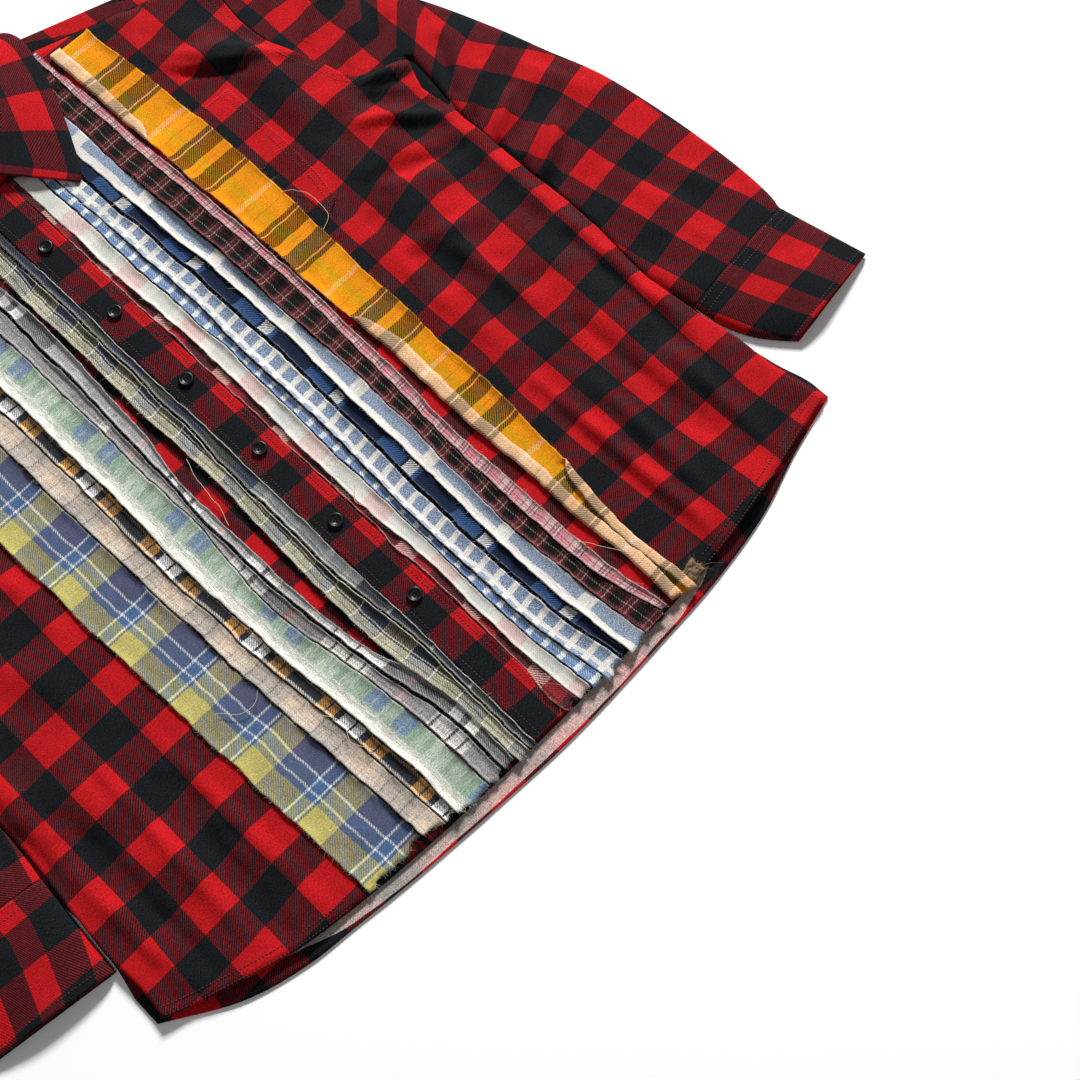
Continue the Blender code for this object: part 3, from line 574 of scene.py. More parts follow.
def flannel(
    name,
    warp,
    weft,
    cross="TWILL",
    share=0.5,
    shade=0.3,
    lean=1,
    soft=0.35,
    blur=0.5,
    slub=0.3,
    nap=0.4,
    lint=0.12,
):
    """A woven cloth. warp and weft are repeats of coloured bands across and along it. cross
    says how they meet: TWILL shows both, LIGHTEN lets the paler one hide the other. share is
    how much of the warp a twill shows, shade how far a crossing sinks to its darker thread
    and soft how far its wales run into each other. lean is 1 or -1, the way they slant. blur
    is how far the nap draws the bands' borders, in millimetres, slub how uneven the yarn is,
    nap how uneven the brushing leaves the colour and lint how much pale fibre lies on it."""
    made, tree, shader = start_material(
        name, 0.95, Sheen_Weight=0.015, Sheen_Roughness=0.5, Specular_IOR_Level=0.04
    )
    rgba = {"data_type": "RGBA"}
    uv = add(tree, "ShaderNodeUVMap", uv_map="Cloth")
    cloth = add(tree, "ShaderNodeVectorMath", {0: uv, 1: (1000, 1000, 0)}, operation="MULTIPLY")
    pull = {"Vector": cloth, "Scale": 0.5, "Detail": 4.0, "Roughness": 0.7}
    pull = add(tree, "ShaderNodeTexNoise", pull)
    moved = {0: pull.outputs["Color"], 1: (4 * blur, 4 * blur, 0), 2: cloth}
    moved = add(tree, "ShaderNodeVectorMath", moved, operation="MULTIPLY_ADD")
    drawn = add(tree, "ShaderNodeSeparateXYZ", {0: moved})
    yarns = []
    for place, table, scale in ((0, warp, (1.3, 0.1, 0)), (1, weft, (0.1, 1.3, 0))):
        uneven = streaks(tree, cloth, scale, 1 - slub, 1 + slub)
        yarn = {0: 1.0, 6: bands(tree, drawn.outputs[place], table), 7: uneven}
        yarns.append(add(tree, "ShaderNodeMix", yarn, blend_type="MULTIPLY", **rgba))
    plain = add(tree, "ShaderNodeSeparateXYZ", {0: cloth})
    slant = {0: plain.outputs[1], 1: -lean, 2: plain.outputs[0]}
    slant = add(tree, "ShaderNodeMath", slant, operation="MULTIPLY_ADD")
    wales = add(tree, "ShaderNodeMath", {0: slant, 1: WALE / 2}, operation="PINGPONG")
    broken = streaks(tree, cloth, (0.9, 0.9, 0), -0.3 * WALE / 2, 0.3 * WALE / 2)
    wales = add(tree, "ShaderNodeMath", {0: wales, 1: broken}, operation="ADD")
    wales = {0: wales, 1: WALE / 2 * (share + soft), 2: WALE / 2 * (share - soft)}
    wales = add(tree, "ShaderNodeMapRange", wales, interpolation_type="SMOOTHSTEP")
    both = {0: 1.0, 6: yarns[1], 7: yarns[0]}
    if cross == "TWILL":
        darker = add(tree, "ShaderNodeMix", both, blend_type="DARKEN", **rgba)
        colour = add(tree, "ShaderNodeMix", {**both, 0: wales}, **rgba)
        colour = add(tree, "ShaderNodeMix", {0: shade, 6: colour, 7: darker}, **rgba)
    else:
        colour = add(tree, "ShaderNodeMix", both, blend_type="LIGHTEN", **rgba)
    grain = {"Vector": cloth, "Scale": 0.7, "Detail": 4.0, "Roughness": 0.8}
    grain = add(tree, "ShaderNodeTexNoise", grain)
    value = add(tree, "ShaderNodeMapRange", {0: grain, 1: 0.35, 2: 0.65, 3: 1 - nap, 4: 1 + nap})
    # Wear and washing leave it a little paler here and darker there.
    worn = streaks(tree, cloth, (0.035, 0.035, 0), 0.88, 1.12)
    value = add(tree, "ShaderNodeMath", {0: value, 1: worn}, operation="MULTIPLY")
    colour = {0: 1.0, 6: colour, 7: value}
    colour = add(tree, "ShaderNodeMix", colour, blend_type="MULTIPLY", **rgba)
    # The nap's pale fibres lie in short streaks.
    cover = streaks(tree, cloth, (1.5, 0.6, 0), -0.5 * lint, lint)
    colour = add(tree, "ShaderNodeMix", {0: cover, 6: colour, 7: linear("#DEDAD2")}, **rgba)
    tree.links.new(colour.outputs[2], shader.inputs["Base Color"])
    height = add(tree, "ShaderNodeMath", {0: wales, 1: 0.3, 2: grain}, operation="MULTIPLY_ADD")
    bump = add(tree, "ShaderNodeBump", {"Strength": 0.7, "Distance": 0.0006, "Height": height})
    tree.links.new(bump.outputs[0], shader.inputs["Normal"])
    return made


def speckled(name, roughness, colours, grain, shown=(0.0, 1.0), **sockets):
    """A material whose colour wavers between two on a fine noise, with that noise."""
    made, tree, shader = start_material(name, roughness, **sockets)
    place = add(tree, "ShaderNodeTexCoord").outputs["Object"]
    noise = add(tree, "ShaderNodeTexNoise", {"Vector": place, **grain})
    factor = add(tree, "ShaderNodeMapRange", {0: noise, 1: shown[0], 2: shown[1]})
    mixed = {0: factor, 6: linear(colours[0]), 7: linear(colours[1])}
    mixed = add(tree, "ShaderNodeMix", mixed, data_type="RGBA")
    tree.links.new(mixed.outputs[2], shader.inputs["Base Color"])
    return made, tree, shader, noise


def raw_edge(name, colour, fleck):
    """Frayed cotton: the cut ends of the threads, pale, fuzzy and quite matt."""
    grain = {"Scale": 420.0, "Detail": 3.0, "Roughness": 0.7}
    made, tree, shader, noise = speckled(
        name, 0.95, (colour, fleck), grain, shown=(0.35, 0.65), Specular_IOR_Level=0.06
    )
    bump = add(tree, "ShaderNodeBump", {"Strength": 0.6, "Distance": 0.0003, "Height": noise})
    tree.links.new(bump.outputs[0], shader.inputs["Normal"])
    return made


def check_flannel(name, across, along, **look):
    """The check's cloth, in a red and a black across it and in those along it."""
    warp, weft = (
        [(width, colour) for colour in pair] for width, pair in zip(CHECK_BAND, (across, along))
    )
    return flannel(name, warp, weft, **look)


RED_AND_BLACK = ("#B51219", "#111519")
check = check_flannel(
    "brushed_buffalo_check_flannel", RED_AND_BLACK, RED_AND_BLACK,
    shade=0.66, soft=0.3, blur=0.22, slub=0.16, nap=0.42, lint=0.02,
)
# The inside is unbrushed and washed pale: the white cores of the threads show through.
check_inside = check_flannel(
    "inside_of_the_check_flannel", ("#C9908B", "#7E7773"), ("#BF837E", "#726B68"),
    soft=0.7, blur=0.4, slub=0.5, lint=0.2,
)
# Towards the back's hem it is washed paler still, and it is painted lighter again as painted light,
# to make up for the shadow that the front's hem casts on it.
hem_inside_painted_light = check_flannel(
    "inside_of_the_back_hem_painted_lighter", ("#CFA8A2", "#A59E99"), ("#CDA19A", "#9A938E"),
    shade=0.2, soft=0.7, blur=0.8, slub=0.6, nap=0.5, lint=0.25,
)
CHECK = [check, check_inside, check]

# Each strip: the bands of its warp across it and of its weft along it, from a given height,
# how they cross, and the colours of its inside and of its frayed edge.
CLOTHS = {
    "orange_plaid": {
        "warp": [(5, "#D98208"), (8, "#E2910C"), (6, "#D9A50E"), (5, "#C9A212"), (45, "#E28C0C")],
        "weft": [
            (2.5, "#F0B48E"), (27, "#E58E08"), (4.5, "#33251A"), (1.5, "#EDB38A"), (
                15.5, "#3A2A1C",
            ),
            (5, "#E58E08"), (1.5, "#E5713C"), (5, "#E58E08"), (14, "#3A2A1C"), (1.5, "#EDB38A"),
            (4.5, "#33251A"), (13, "#E58E08"), (0.9, "#C96E1E"), (13.5, "#E58E08"), (
                2.4, "#F0B48E",
            ),
        ],
        "back": [
            (2.5, "#E9CDB8"), (27, "#DDB08A"), (4.5, "#65503E"), (1.5, "#E0BC9C"), (
                15.5, "#7C6452",
            ),
            (5, "#D4A47C"), (1.5, "#CC8A64"), (5, "#D4A47C"), (14, "#7C6452"), (1.5, "#E0BC9C"),
            (4.5, "#65503E"), (13, "#DDB08A"), (0.9, "#B88460"), (13.5, "#DDB08A"), (
                2.4, "#E9CDB8",
            ),
        ],
        "from": 57.0,
        "look": {
            "share": 0.42, "shade": 0.45, "nap": 0.24, "slub": 0.2, "blur": 0.25, "lint": 0.03,
        },
        "washed": ("#E4C29C", 0.85),
        "fray": ["#7C6340", "#C9A877"],
    },
    "pink_check": {
        "warp": [
            (1.5, "#D1C5BB"), (1.2, "#6E3646"), (1.7, "#CD9295"), (1.2, "#6E3646"), (
                1.7, "#CD9295",
            ),
            (1.2, "#834451"), (3, "#D19FA2"), (2.5, "#D5CEC4"), (1.2, "#B34A5A"), (3, "#D3CCC2"),
        ],
        "weft": [
            (8, "#CE7680"), (1.3, "#5F2738"), (1.8, "#D7CAC2"), (1.3, "#5F2738"), (1.8, "#C2979A"),
            (1.3, "#5F2738"), (5, "#D1C2BA"), (1.3, "#984A56"), (4, "#CFA3A4"),
        ],
        "from": 10.0,
        "look": {
            "share": 0.45, "shade": 0.5, "soft": 0.7, "nap": 0.4, "slub": 0.5, "blur": 0.4,
            "lint": 0.22,
        },
        "washed": ("#D8CFCB", 0.5),
        "fray": ["#C9B4B0", "#8E6A6C"],
    },
    "red_tartan": {
        "warp": [
            (3.5, "#7E363F"), (1.2, "#100A0C"), (5, "#060C0A"), (1.1, "#8A857A"), (4, "#130E10"),
            (1, "#601C22"), (9, "#080C0B"),
        ],
        "weft": [
            (10, "#040908"), (3.2, "#58141E"), (1.1, "#9C9688"), (3.4, "#6E1C27"),
            (1.1, "#786C63"), (3.2, "#58141E"),
        ],
        "from": 28.0,
        "look": {
            "share": 0.42, "shade": 0.22, "soft": 0.5, "nap": 0.45, "slub": 0.45, "blur": 0.45,
            "lint": 0.04,
        },
        "washed": ("#8E6A68", 0.5),
        "fray": ["#7A4A4C", "#B48084"],
    },
    "white_denim": {
        "warp": [(10, "#D3CFC9"), (9, "#000000"), (20, "#888E9C")],
        "weft": [(74.5, "#667E9E"), (13, "#D3CFC9")],
        "from": -55.0,
        "look": {"cross": "LIGHTEN", "nap": 0.24, "slub": 0.34, "blur": 0.9, "lint": 0.75},
        "washed": ("#DEDAD2", 0.6),
        "fray": ["#D8D3CA", "#B9B9B9"],
    },
    "navy_twill": {
        "warp": [(40, "#1A233C")],
        "weft": [
            (4, "#3E5F90"), (11, "#E4E2DE"), (2.5, "#161C30"), (28, "#3D5F90"), (43, "#182238"),
        ],
        "from": 20.0,
        "look": {
            "share": 0.42, "shade": 0.1, "lean": -1, "nap": 0.25, "slub": 0.15, "blur": 0.2,
            "lint": 0.02,
        },
        "washed": ("#49557A", 0.5),
        "fray": ["#232A40", "#7C8498"],
    },
    "blue_gingham": {
        "warp": [
            (1, "#CFCCC6"), (5, "#6E85A6"), (4, "#D6D3CC"), (11.5, "#4E6C94"), (5, "#CFCCC6"),
        ],
        "weft": [(10.6, "#4C6A93"), (5.3, "#D6D3CC")],
        "from": 6.0,
        "look": {"cross": "LIGHTEN", "nap": 0.26, "slub": 0.42, "blur": 0.9, "lint": 0.85},
        "washed": ("#D5D8DC", 0.6),
        "fray": ["#8E98A8", "#D5D3CE"],
    },
    "blue_under": {
        "warp": [(6, "#6183AD"), (4, "#C2D0DA")],
        "weft": [(11.2, "#40669A"), (4.6, "#F6F6EF")],
        "from": 3.0,
        "look": {
            "share": 0.35, "shade": 0.1, "soft": 0.7, "nap": 0.28, "slub": 0.4, "blur": 0.7,
            "lint": 0.3,
        },
        "washed": ("#B8C6DC", 0.5),
        "fray": ["#4F6486", "#B4BECC"],
    },
    "cream_pink": {
        "warp": [(3, "#D3D0CA"), (60, "#D1CDC6")],
        "weft": [(26, "#CCA49E"), (12, "#D1CEC7"), (24, "#BEC1BC"), (13, "#D1CEC7")],
        "from": 100.0,
        "look": {
            "share": 0.4, "shade": 0.1, "soft": 0.7, "nap": 0.16, "slub": 0.16, "blur": 0.8,
            "lint": 0.35,
        },
        "washed": ("#DAD4CC", 0.6),
        "fray": ["#D5CFC6", "#B9B0A8"],
    },
    "maroon_edge": {
        "warp": [(30, "#641B25")],
        "weft": [
            (18, "#E0B4A8"), (2, "#4A161C"), (32, "#34141C"), (3, "#4A161C"), (18, "#AE222C"),
        ],
        "from": 60.0,
        "look": {
            "share": 0.42, "shade": 0.2, "lean": -1, "nap": 0.35, "slub": 0.3, "blur": 0.4,
            "lint": 0.08,
        },
        "washed": ("#B08080", 0.4),
        "fray": ["#A8585C", "#D8A09C"],
    },
    "slate_layer": {
        "warp": [
            (2.2, "#A9ABA8"), (0.9, "#C9CAC4"), (2, "#565C5C"), (1, "#1E2636"), (1.6, "#7C8080"),
            (7, "#5C6062"),
        ],
        "weft": [
            (30, "#161C28"), (1.2, "#A9ACA8"), (38, "#1A2022"), (1.2, "#A9ACA8"), (42, "#141C2A"),
            (1.2, "#A9ACA8"), (44, "#141C28"), (1.2, "#A9ACA8"), (34, "#1A222E"), (10, "#A9AAA4"),
            (5, "#D5D4CC"), (16, "#8E918F"), (4, "#C4C3BA"), (34, "#989B99"), (3, "#C9C8C0"),
            (30, "#A6A8A6"), (6, "#D0CFC8"), (10, "#8A8D8B"), (28, "#18223C"), (1.2, "#B4B6B0"),
            (35, "#2A2E24"), (1.2, "#B4B6B0"), (43, "#161E34"), (1.2, "#B4B6B0"), (30, "#2C3026"),
            (41, "#1A2440"), (1.2, "#B4B6B0"), (33, "#2C3026"), (160, "#161E36"),
        ],
        "from": -116.0,
        "look": {
            "share": 0.38, "shade": 0.6, "soft": 0.7, "nap": 0.4, "slub": 0.6, "blur": 0.5,
            "lint": 0.1,
        },
        "washed": ("#8E9294", 0.5),
        "fray": ["#7C7E78", "#B4B4AC"],
    },
    "olive_plaid": {
        "warp": [
            (2, "#6A6B63"), (1, "#D8D2BC"), (3.6, "#BCB79E"), (0.9, "#5E5C4C"), (4, "#C1BCA6"), (
                1, "#EAE4D2",
            ),
            (1.6, "#20241F"), (1.1, "#DAD4C4"), (10, "#0E1216"),
        ],
        "weft": [
            (8, "#8B8670"), (0.9, "#454335"), (9, "#97927C"), (0.9, "#454335"), (8, "#8B8670"), (
                1.1, "#E6E0D0",
            ),
            (26, "#364258"), (1.1, "#E6E0D0"), (12, "#5E604C"), (0.9, "#2C2C20"), (13, "#686A54"), (
                1.1, "#E6E0D0",
            ),
            (24, "#3A465C"), (1.1, "#E6E0D0"),
        ],
        "from": 8.0,
        "look": {
            "share": 0.56, "shade": 0.16, "soft": 0.7, "nap": 0.42, "slub": 0.6, "blur": 0.6,
            "lint": 0.08,
        },
        "washed": ("#8E9088", 0.5),
        "fray": ["#9C9880", "#C4C0AE"],
    },
    "grey_check": {
        "warp": [
            (4.5, "#D3D0CC"), (1.2, "#989696"), (4.5, "#BDBCB9"), (1.2, "#8B8889"), (9, "#CFCDC8"),
        ],
        "weft": [
            (33, "#25282B"), (6, "#0E0F11"), (10, "#DBD7D1"), (5, "#0E0F11"), (10, "#A7A4A1"), (
                5, "#0E0F11",
            ),
            (32, "#1B1D21"), (3.4, "#791D25"), (21, "#343A3F"), (26, "#E7E3DC"), (2.4, "#141518"),
            (19, "#E7E3DC"), (2.4, "#141518"), (22, "#B7B4B1"), (6, "#C6A2A2"), (30, "#8D8C8C"),
            (14, "#E3DFD9"), (3.6, "#191A1D"), (16.4, "#E3DFD9"), (30, "#908E8E"), (6, "#CAA6A6"),
            (19.5, "#A09E9E"), (10.5, "#E3DFD9"), (5, "#141518"), (8, "#E3DFD9"), (7, "#141518"),
            (10, "#E3DFD9"), (2.4, "#141518"), (6, "#E3DFD9"), (28, "#969495"), (6, "#CAA6A6"), (
                120, "#908E8E",
            ),
        ],
        "from": -113.0,
        "look": {
            "share": 0.26, "shade": 0.25, "soft": 0.9, "nap": 0.5, "slub": 0.75, "blur": 0.6,
            "lint": 0.14,
        },
        "washed": ("#A5A5A7", 0.5),
        "fray": ["#B4B1AE", "#77777A"],
    },
    "grey_fuzzy": {
        "warp": [
            (5, "#BDB8B4"), (1.2, "#676667"), (5, "#A9A5A1"), (1.2, "#727070"), (8, "#BDB8B4"),
        ],
        "weft": [
            (33, "#858282"), (4.5, "#D7D0CA"), (2.4, "#131316"), (10, "#DAD4CE"), (2.4, "#131316"),
            (14, "#DAD4CE"), (2.4, "#131316"), (3, "#D0CBC4"), (26, "#827F7F"), (5, "#B38A8A"),
            (30, "#807C7D"), (4, "#D7D0CA"), (2.4, "#27282B"), (10, "#DAD4CE"), (2.4, "#131316"),
            (14, "#DAD4CE"), (2.4, "#131316"), (7, "#C5C1BB"), (33, "#646061"), (2.4, "#9E2F36"),
            (23, "#32373B"), (3, "#0D0D10"), (14.6, "#B2ACA9"), (3, "#131316"), (10, "#B9B3AF"),
            (2.6, "#1C1D1F"), (9, "#C5C1BB"), (124, "#8A8686"), (6, "#C09C9C"), (26, "#8A8686"),
            (8, "#D8D3CC"), (120, "#858282"),
        ],
        "from": -113.0,
        "look": {
            "share": 0.26, "shade": 0.25, "soft": 0.9, "nap": 0.5, "slub": 0.75, "blur": 0.6,
            "lint": 0.12,
        },
        "washed": ("#98989A", 0.5),
        "fray": ["#9C9A9A", "#5E5E62"],
    },
    "cream_green": {
        "warp": [
            (5, "#D6D4CA"), (0.9, "#B0B6AC"), (7, "#D8D6CC"), (0.9, "#B0B6AC"), (4, "#C6C8BC"),
            (3, "#8A9C8A"), (26, "#5E7A68"),
        ],
        "weft": [
            (6, "#3E6196"), (1, "#8FA0A8"), (8, "#3E6196"), (3, "#9CB09C"), (2, "#86A08A"), (
                3, "#A0B2A0",
            ),
            (2, "#86A08A"), (3, "#9CB09C"), (8, "#3E6196"), (1, "#8FA0A8"), (6, "#44679A"), (
                6, "#7E9A84",
            ),
            (8, "#88A28C"), (1, "#A4B0A4"), (10, "#9CB09C"), (5, "#7E9A84"), (9, "#A8B8A8"), (
                1, "#88A28C",
            ),
            (8, "#B4C0B0"), (6, "#8CA48E"), (6, "#A0B2A0"), (8, "#7E9A84"),
        ],
        "from": -33.0,
        "look": {"cross": "LIGHTEN", "nap": 0.4, "slub": 0.55, "blur": 2.4, "lint": 0.45},
        "washed": ("#D0D1C6", 0.6),
        "fray": ["#CFCEC2", "#A8ADA4"],
    },
    "brown_check": {
        "warp": [
            (4, "#FFFFF8"), (1, "#C4B6A8"), (7.5, "#1E222C"), (0.8, "#B09A86"), (10, "#F2B066"),
        ],
        "weft": [
            (7, "#BE8A44"), (1.5, "#3A2F22"), (9.5, "#BE8A44"), (6, "#1B1F28"), (8, "#FFFFFF"), (
                1.8, "#1B1F28",
            ),
            (11, "#FFFFFF"), (5, "#1B1F28"), (7, "#D59C4C"), (1.5, "#3A2F22"), (8, "#D59C4C"), (
                32, "#1B1F28",
            ),
        ],
        "from": 62.0,
        "look": {
            "share": 0.36, "shade": 0.35, "soft": 0.5, "nap": 0.38, "slub": 0.45, "blur": 0.5,
            "lint": 0.08,
        },
        "washed": ("#A09284", 0.5),
        "fray": ["#B0A696", "#5E5044"],
    },
    "beige_fuzzy": {
        "warp": [
            (3, "#A59E98"), (1, "#7A7270"), (3.5, "#ABA39C"), (1, "#8A827E"), (7, "#CFBBA6"),
            (1.2, "#9A8E84"), (6, "#C0B1A2"),
        ],
        "weft": [
            (5, "#9C948F"), (1.6, "#544E4C"), (9, "#A39B94"), (1.2, "#6E6662"), (11, "#9C948F"), (
                1.4, "#544E4C",
            ),
            (7, "#C4B4A4"), (12, "#DCC9B4"), (1, "#A39686"), (13, "#D8C2AA"), (1, "#9A8E82"), (
                6, "#BDAFA2",
            ),
        ],
        "from": 127.0,
        "look": {
            "share": 0.48, "shade": 0.2, "soft": 0.8, "nap": 0.34, "slub": 0.6, "blur": 1.0,
            "lint": 0.22,
        },
        "washed": ("#B9ACA0", 0.5),
        "fray": ["#B4A698", "#8A8078"],
    },
    "blue_yellow": {
        "warp": [
            (20, "#BFB468"), (5, "#4E6C94"), (2, "#E2E4E4"), (9.5, "#4A6690"), (2, "#E2E4E4"),
            (14.5, "#4E5072"), (10, "#4A5874"),
        ],
        "weft": [
            (24, "#BDB268"), (2, "#3E5A7A"), (2, "#E4E4DA"), (8.5, "#46668E"), (2, "#E4E4DA"),
            (2, "#3E5A7A"), (28, "#50546C"),
        ],
        "from": 17.0,
        "look": {
            "share": 0.48, "shade": 0.2, "soft": 0.85, "nap": 0.3, "slub": 0.3, "blur": 0.3,
            "lint": 0.06,
        },
        "washed": ("#A0A29E", 0.5),
        "fray": ["#8A8C7C", "#BFBDA8"],
    },
}


def washed(table, pale, share):
    """A cloth's bands as its unbrushed inside shows them, much paler."""
    faded = []
    for width, colour in table:
        parts = [
            round(int(colour[i : i + 2], 16) * (1 - share) + int(pale[i : i + 2], 16) * share)
            for i in (1, 3, 5)
        ]
        faded.append((width, "#" + "".join(f"{part:02X}" for part in parts)))
    return faded


def strip_finishes(name, cloth):
    """The face, the inside and the frayed edge of one strip's cloth."""
    face = flannel(f"{name}_flannel", cloth["warp"], cloth["weft"], **cloth["look"])
    warp, weft = (washed(cloth[key], *cloth["washed"]) for key in ("warp", "weft"))
    weft = cloth.get("back", weft)
    look = {"share": 0.3, "shade": 0.2, "soft": 0.8, "blur": 0.4, "nap": 0.25}
    inside = flannel(f"inside_of_the_{name}_flannel", warp, weft, **look)
    return [face, inside, raw_edge(f"frayed_{name}_edge", *cloth["fray"])]


# A spun thread: two plies twisted together, with a slight gloss along them.
thread = speckled(
    "maroon_polyester_sewing_thread", 0.55, ("#2A0E12", "#5A1C20"), {"Scale": 900.0},
    Sheen_Weight=0.1,
)[0]
# The buttons' own thread is black polyester, with a slight gloss.
resin_thread = raw_edge("black_polyester_button_thread", "#0E0F12", "#2A2B30")

# Cast polyester resin, tumbled to a satin gloss: near black, with soft highlights on its rim.
resin, resin_tree, resin_shader, cloud = speckled(
    "black_cast_resin", 0.36, ("#060708", "#121418"), {"Scale": 260.0, "Detail": 3.0},
    Specular_IOR_Level=0.35,
)
resin_worn = add(resin_tree, "ShaderNodeMapRange", {0: cloud, 3: 0.28, 4: 0.44})
resin_tree.links.new(resin_worn.outputs[0], resin_shader.inputs["Roughness"])


# ---------------------------------------------------------------- making pieces
def to_frame(points):
    """Drafting millimetres as metres of the part's own frame."""
    return (np.asarray(points, float) - ORIGIN) * MM


def mesh_of(bm, name):
    """What a bmesh holds, as a mesh."""
    mesh = bpy.data.meshes.new(name)
    bm.to_mesh(mesh)
    bm.free()
    return mesh


def show(name, data, materials=()):
    for material in materials:
        data.materials.append(material)
    made = bpy.data.objects.new(name, data)
    bpy.context.scene.collection.objects.link(made)
    return made


def piece(name, data, materials):
    """A piece of the shirt, which rides on its one body."""
    made = show(name, data, materials)
    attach(made, "root")
    return made


def cloth_piece(
    name, points, weave, thick, materials, offset=0.0, flip=False, patch=None, drop=None
):
    """A piece of cloth from a grid of points and of the places on the cloth that lie there.
    materials are those of its face, its inside and its edge, and then of its patch, which is
    where patch is true. drop tells which of the grid's cells it hasn't got."""
    rows, columns = points.shape[0] - 1, points.shape[1] - 1
    bm = bmesh.new()
    uv = bm.loops.layers.uv.new("Cloth")
    bmesh.ops.create_grid(bm, x_segments=columns, y_segments=rows, size=0.5)
    place = np.array([vertex.co[:2] for vertex in bm.verts]) + 0.5
    i = np.rint(place[:, 1] * rows).astype(int)
    j = np.rint(place[:, 0] * columns).astype(int)
    where = to_frame(points)[i, j]
    cloth = weave[i, j] * MM
    for vertex, co in zip(bm.verts, where):
        vertex.co = co
    gone = []
    for face in bm.faces:
        numbers = [loop.vert.index for loop in face.loops]
        for loop, number in zip(face.loops, numbers):
            loop[uv].uv = cloth[number]
        row, column = i[numbers].min(), j[numbers].min()
        if patch is not None and patch[row, column]:
            face.material_index = 3
        if drop is not None and drop[row, column]:
            gone.append(face)
    bmesh.ops.delete(bm, geom=gone, context="FACES")
    bmesh.ops.remove_doubles(bm, verts=bm.verts, dist=1e-7)
    if flip:
        bmesh.ops.reverse_faces(bm, faces=bm.faces)
    mesh = mesh_of(bm, name)
    mesh.shade_smooth()
    made = piece(name, mesh, materials)
    wall = made.modifiers.new("Wall", "SOLIDIFY")
    wall.thickness = thick * MM
    wall.offset = offset
    wall.material_offset = 1
    wall.material_offset_rim = 2
    return made


def copies(name, groups, material):
    """One piece of many copies of small shapes, from each shape and its copies' matrices."""
    points, faces, count = [], [], 0
    for shape, matrices in groups:
        corners = np.array([vertex.co for vertex in shape.vertices])
        moved = np.einsum("nij,kj->nki", matrices[:, :3, :3], corners) + matrices[:, None, :3, 3]
        loops = [tuple(face.vertices) for face in shape.polygons]
        for first in range(count, count + len(corners) * len(matrices), len(corners)):
            faces += [tuple(v + first for v in loop) for loop in loops]
        points.append(moved.reshape(-1, 3))
        count += len(points[-1])
    mesh = bpy.data.meshes.new(name)
    mesh.from_pydata(np.concatenate(points), [], faces)
    mesh.shade_smooth()
    return piece(name, mesh, [material])


def turned(along, up, length, width, height, place):
    """Matrices that lay a shape along given directions, scaled, at given places."""
    along = along / np.linalg.norm(along, axis=1)[:, None]
    aside = np.cross(up, along)
    aside /= np.linalg.norm(aside, axis=1)[:, None]
    out = np.zeros((len(along), 4, 4))
    axes = (along, aside, np.cross(along, aside))
    for column, (axis, size) in enumerate(zip(axes, (length, width, height))):
        out[:, :3, column] = axis * np.reshape(size, (-1, 1))
    out[:, :3, 3] = place
    out[:, 3, 3] = 1
    return out


def stitch_shape():
    bm = bmesh.new()
    bmesh.ops.create_icosphere(bm, subdivisions=1, radius=0.5)
    return mesh_of(bm, "stitch")


def fibre_shape(bend):
    """A thin tapered fibre along x, from 0 to 1, bent aside."""
    bm = bmesh.new()
    lie = Matrix.Translation((0.5, 0, 0)) @ Matrix.Rotation(np.pi / 2, 4, "Y")
    bmesh.ops.create_cone(
        bm, segments=3, radius1=0.5, radius2=0.12, depth=1.0, cap_ends=False, matrix=lie
    )
    whole = bm.verts[:] + bm.edges[:] + bm.faces[:]
    bmesh.ops.bisect_plane(bm, geom=whole, plane_co=(0.55, 0, 0), plane_no=(1, 0, 0))
    for vertex in bm.verts:
        vertex.co.y += bend * vertex.co.x**2
    return mesh_of(bm, "fibre")


STITCH = stitch_shape()
FIBRES = [fibre_shape(bend) for bend in (-4.0, 0.0, 5.0)]
STITCH_PITCH = 3.0
FIBRE_WIDTHS = (0.18, 0.34)


def stitches(name, lines, material, pitch=STITCH_PITCH, wide=0.75, high=0.5):
    """Rows of sewn stitches along lines of drafting points."""
    places, runs = [], []
    for line in lines:
        line = np.asarray(line, float)
        steps = lengths_along(line)
        at = np.arange(pitch / 2, steps[-1], pitch)
        places.append(points_at(at, steps, line))
        runs.append(points_at(at + 0.6, steps, line) - points_at(at - 0.6, steps, line))
    places, runs = np.concatenate(places), np.concatenate(runs)
    up = np.tile((0.0, 0.0, 1.0), (len(places), 1))
    matrices = turned(runs, up, pitch * 0.8 * MM, wide * MM, high * MM, to_frame(places))
    return copies(name, [(STITCH, matrices)], material)


def fray(name, edges, material, seed, spacing=1.25, long=2.2):
    """Short threads that stand out of raw edges. Each edge has its line of points, the line
    just inside it and the directions that stand up from it."""
    rng = np.random.default_rng(seed)
    places, outs, ups = [], [], []
    for lines in edges:
        steps = lengths_along(lines[0])
        at = np.sort(rng.uniform(0, steps[-1], int(steps[-1] / spacing)))
        edge, inside, over = (points_at(at, steps, line) for line in lines)
        places.append(edge)
        outs.append(edge - inside)
        ups.append(over)
    places, outs, ups = (np.concatenate(part) for part in (places, outs, ups))
    outs /= np.linalg.norm(outs, axis=1)[:, None] + 1e-9
    count = len(places)
    aside = np.cross(outs, ups)
    outs = outs + aside * rng.normal(0, 0.75, (count, 1))
    outs = outs + ups * rng.normal(-0.05, 0.4, (count, 1))
    length = long * rng.lognormal(-0.45, 0.6, count)
    wide = rng.uniform(*FIBRE_WIDTHS, count)
    matrices = turned(outs, ups, length * MM, wide * MM, wide * MM, to_frame(places - outs * 0.4))
    kind = rng.integers(0, len(FIBRES), count)
    return copies(name, [(shape, matrices[kind == k]) for k, shape in enumerate(FIBRES)], material)


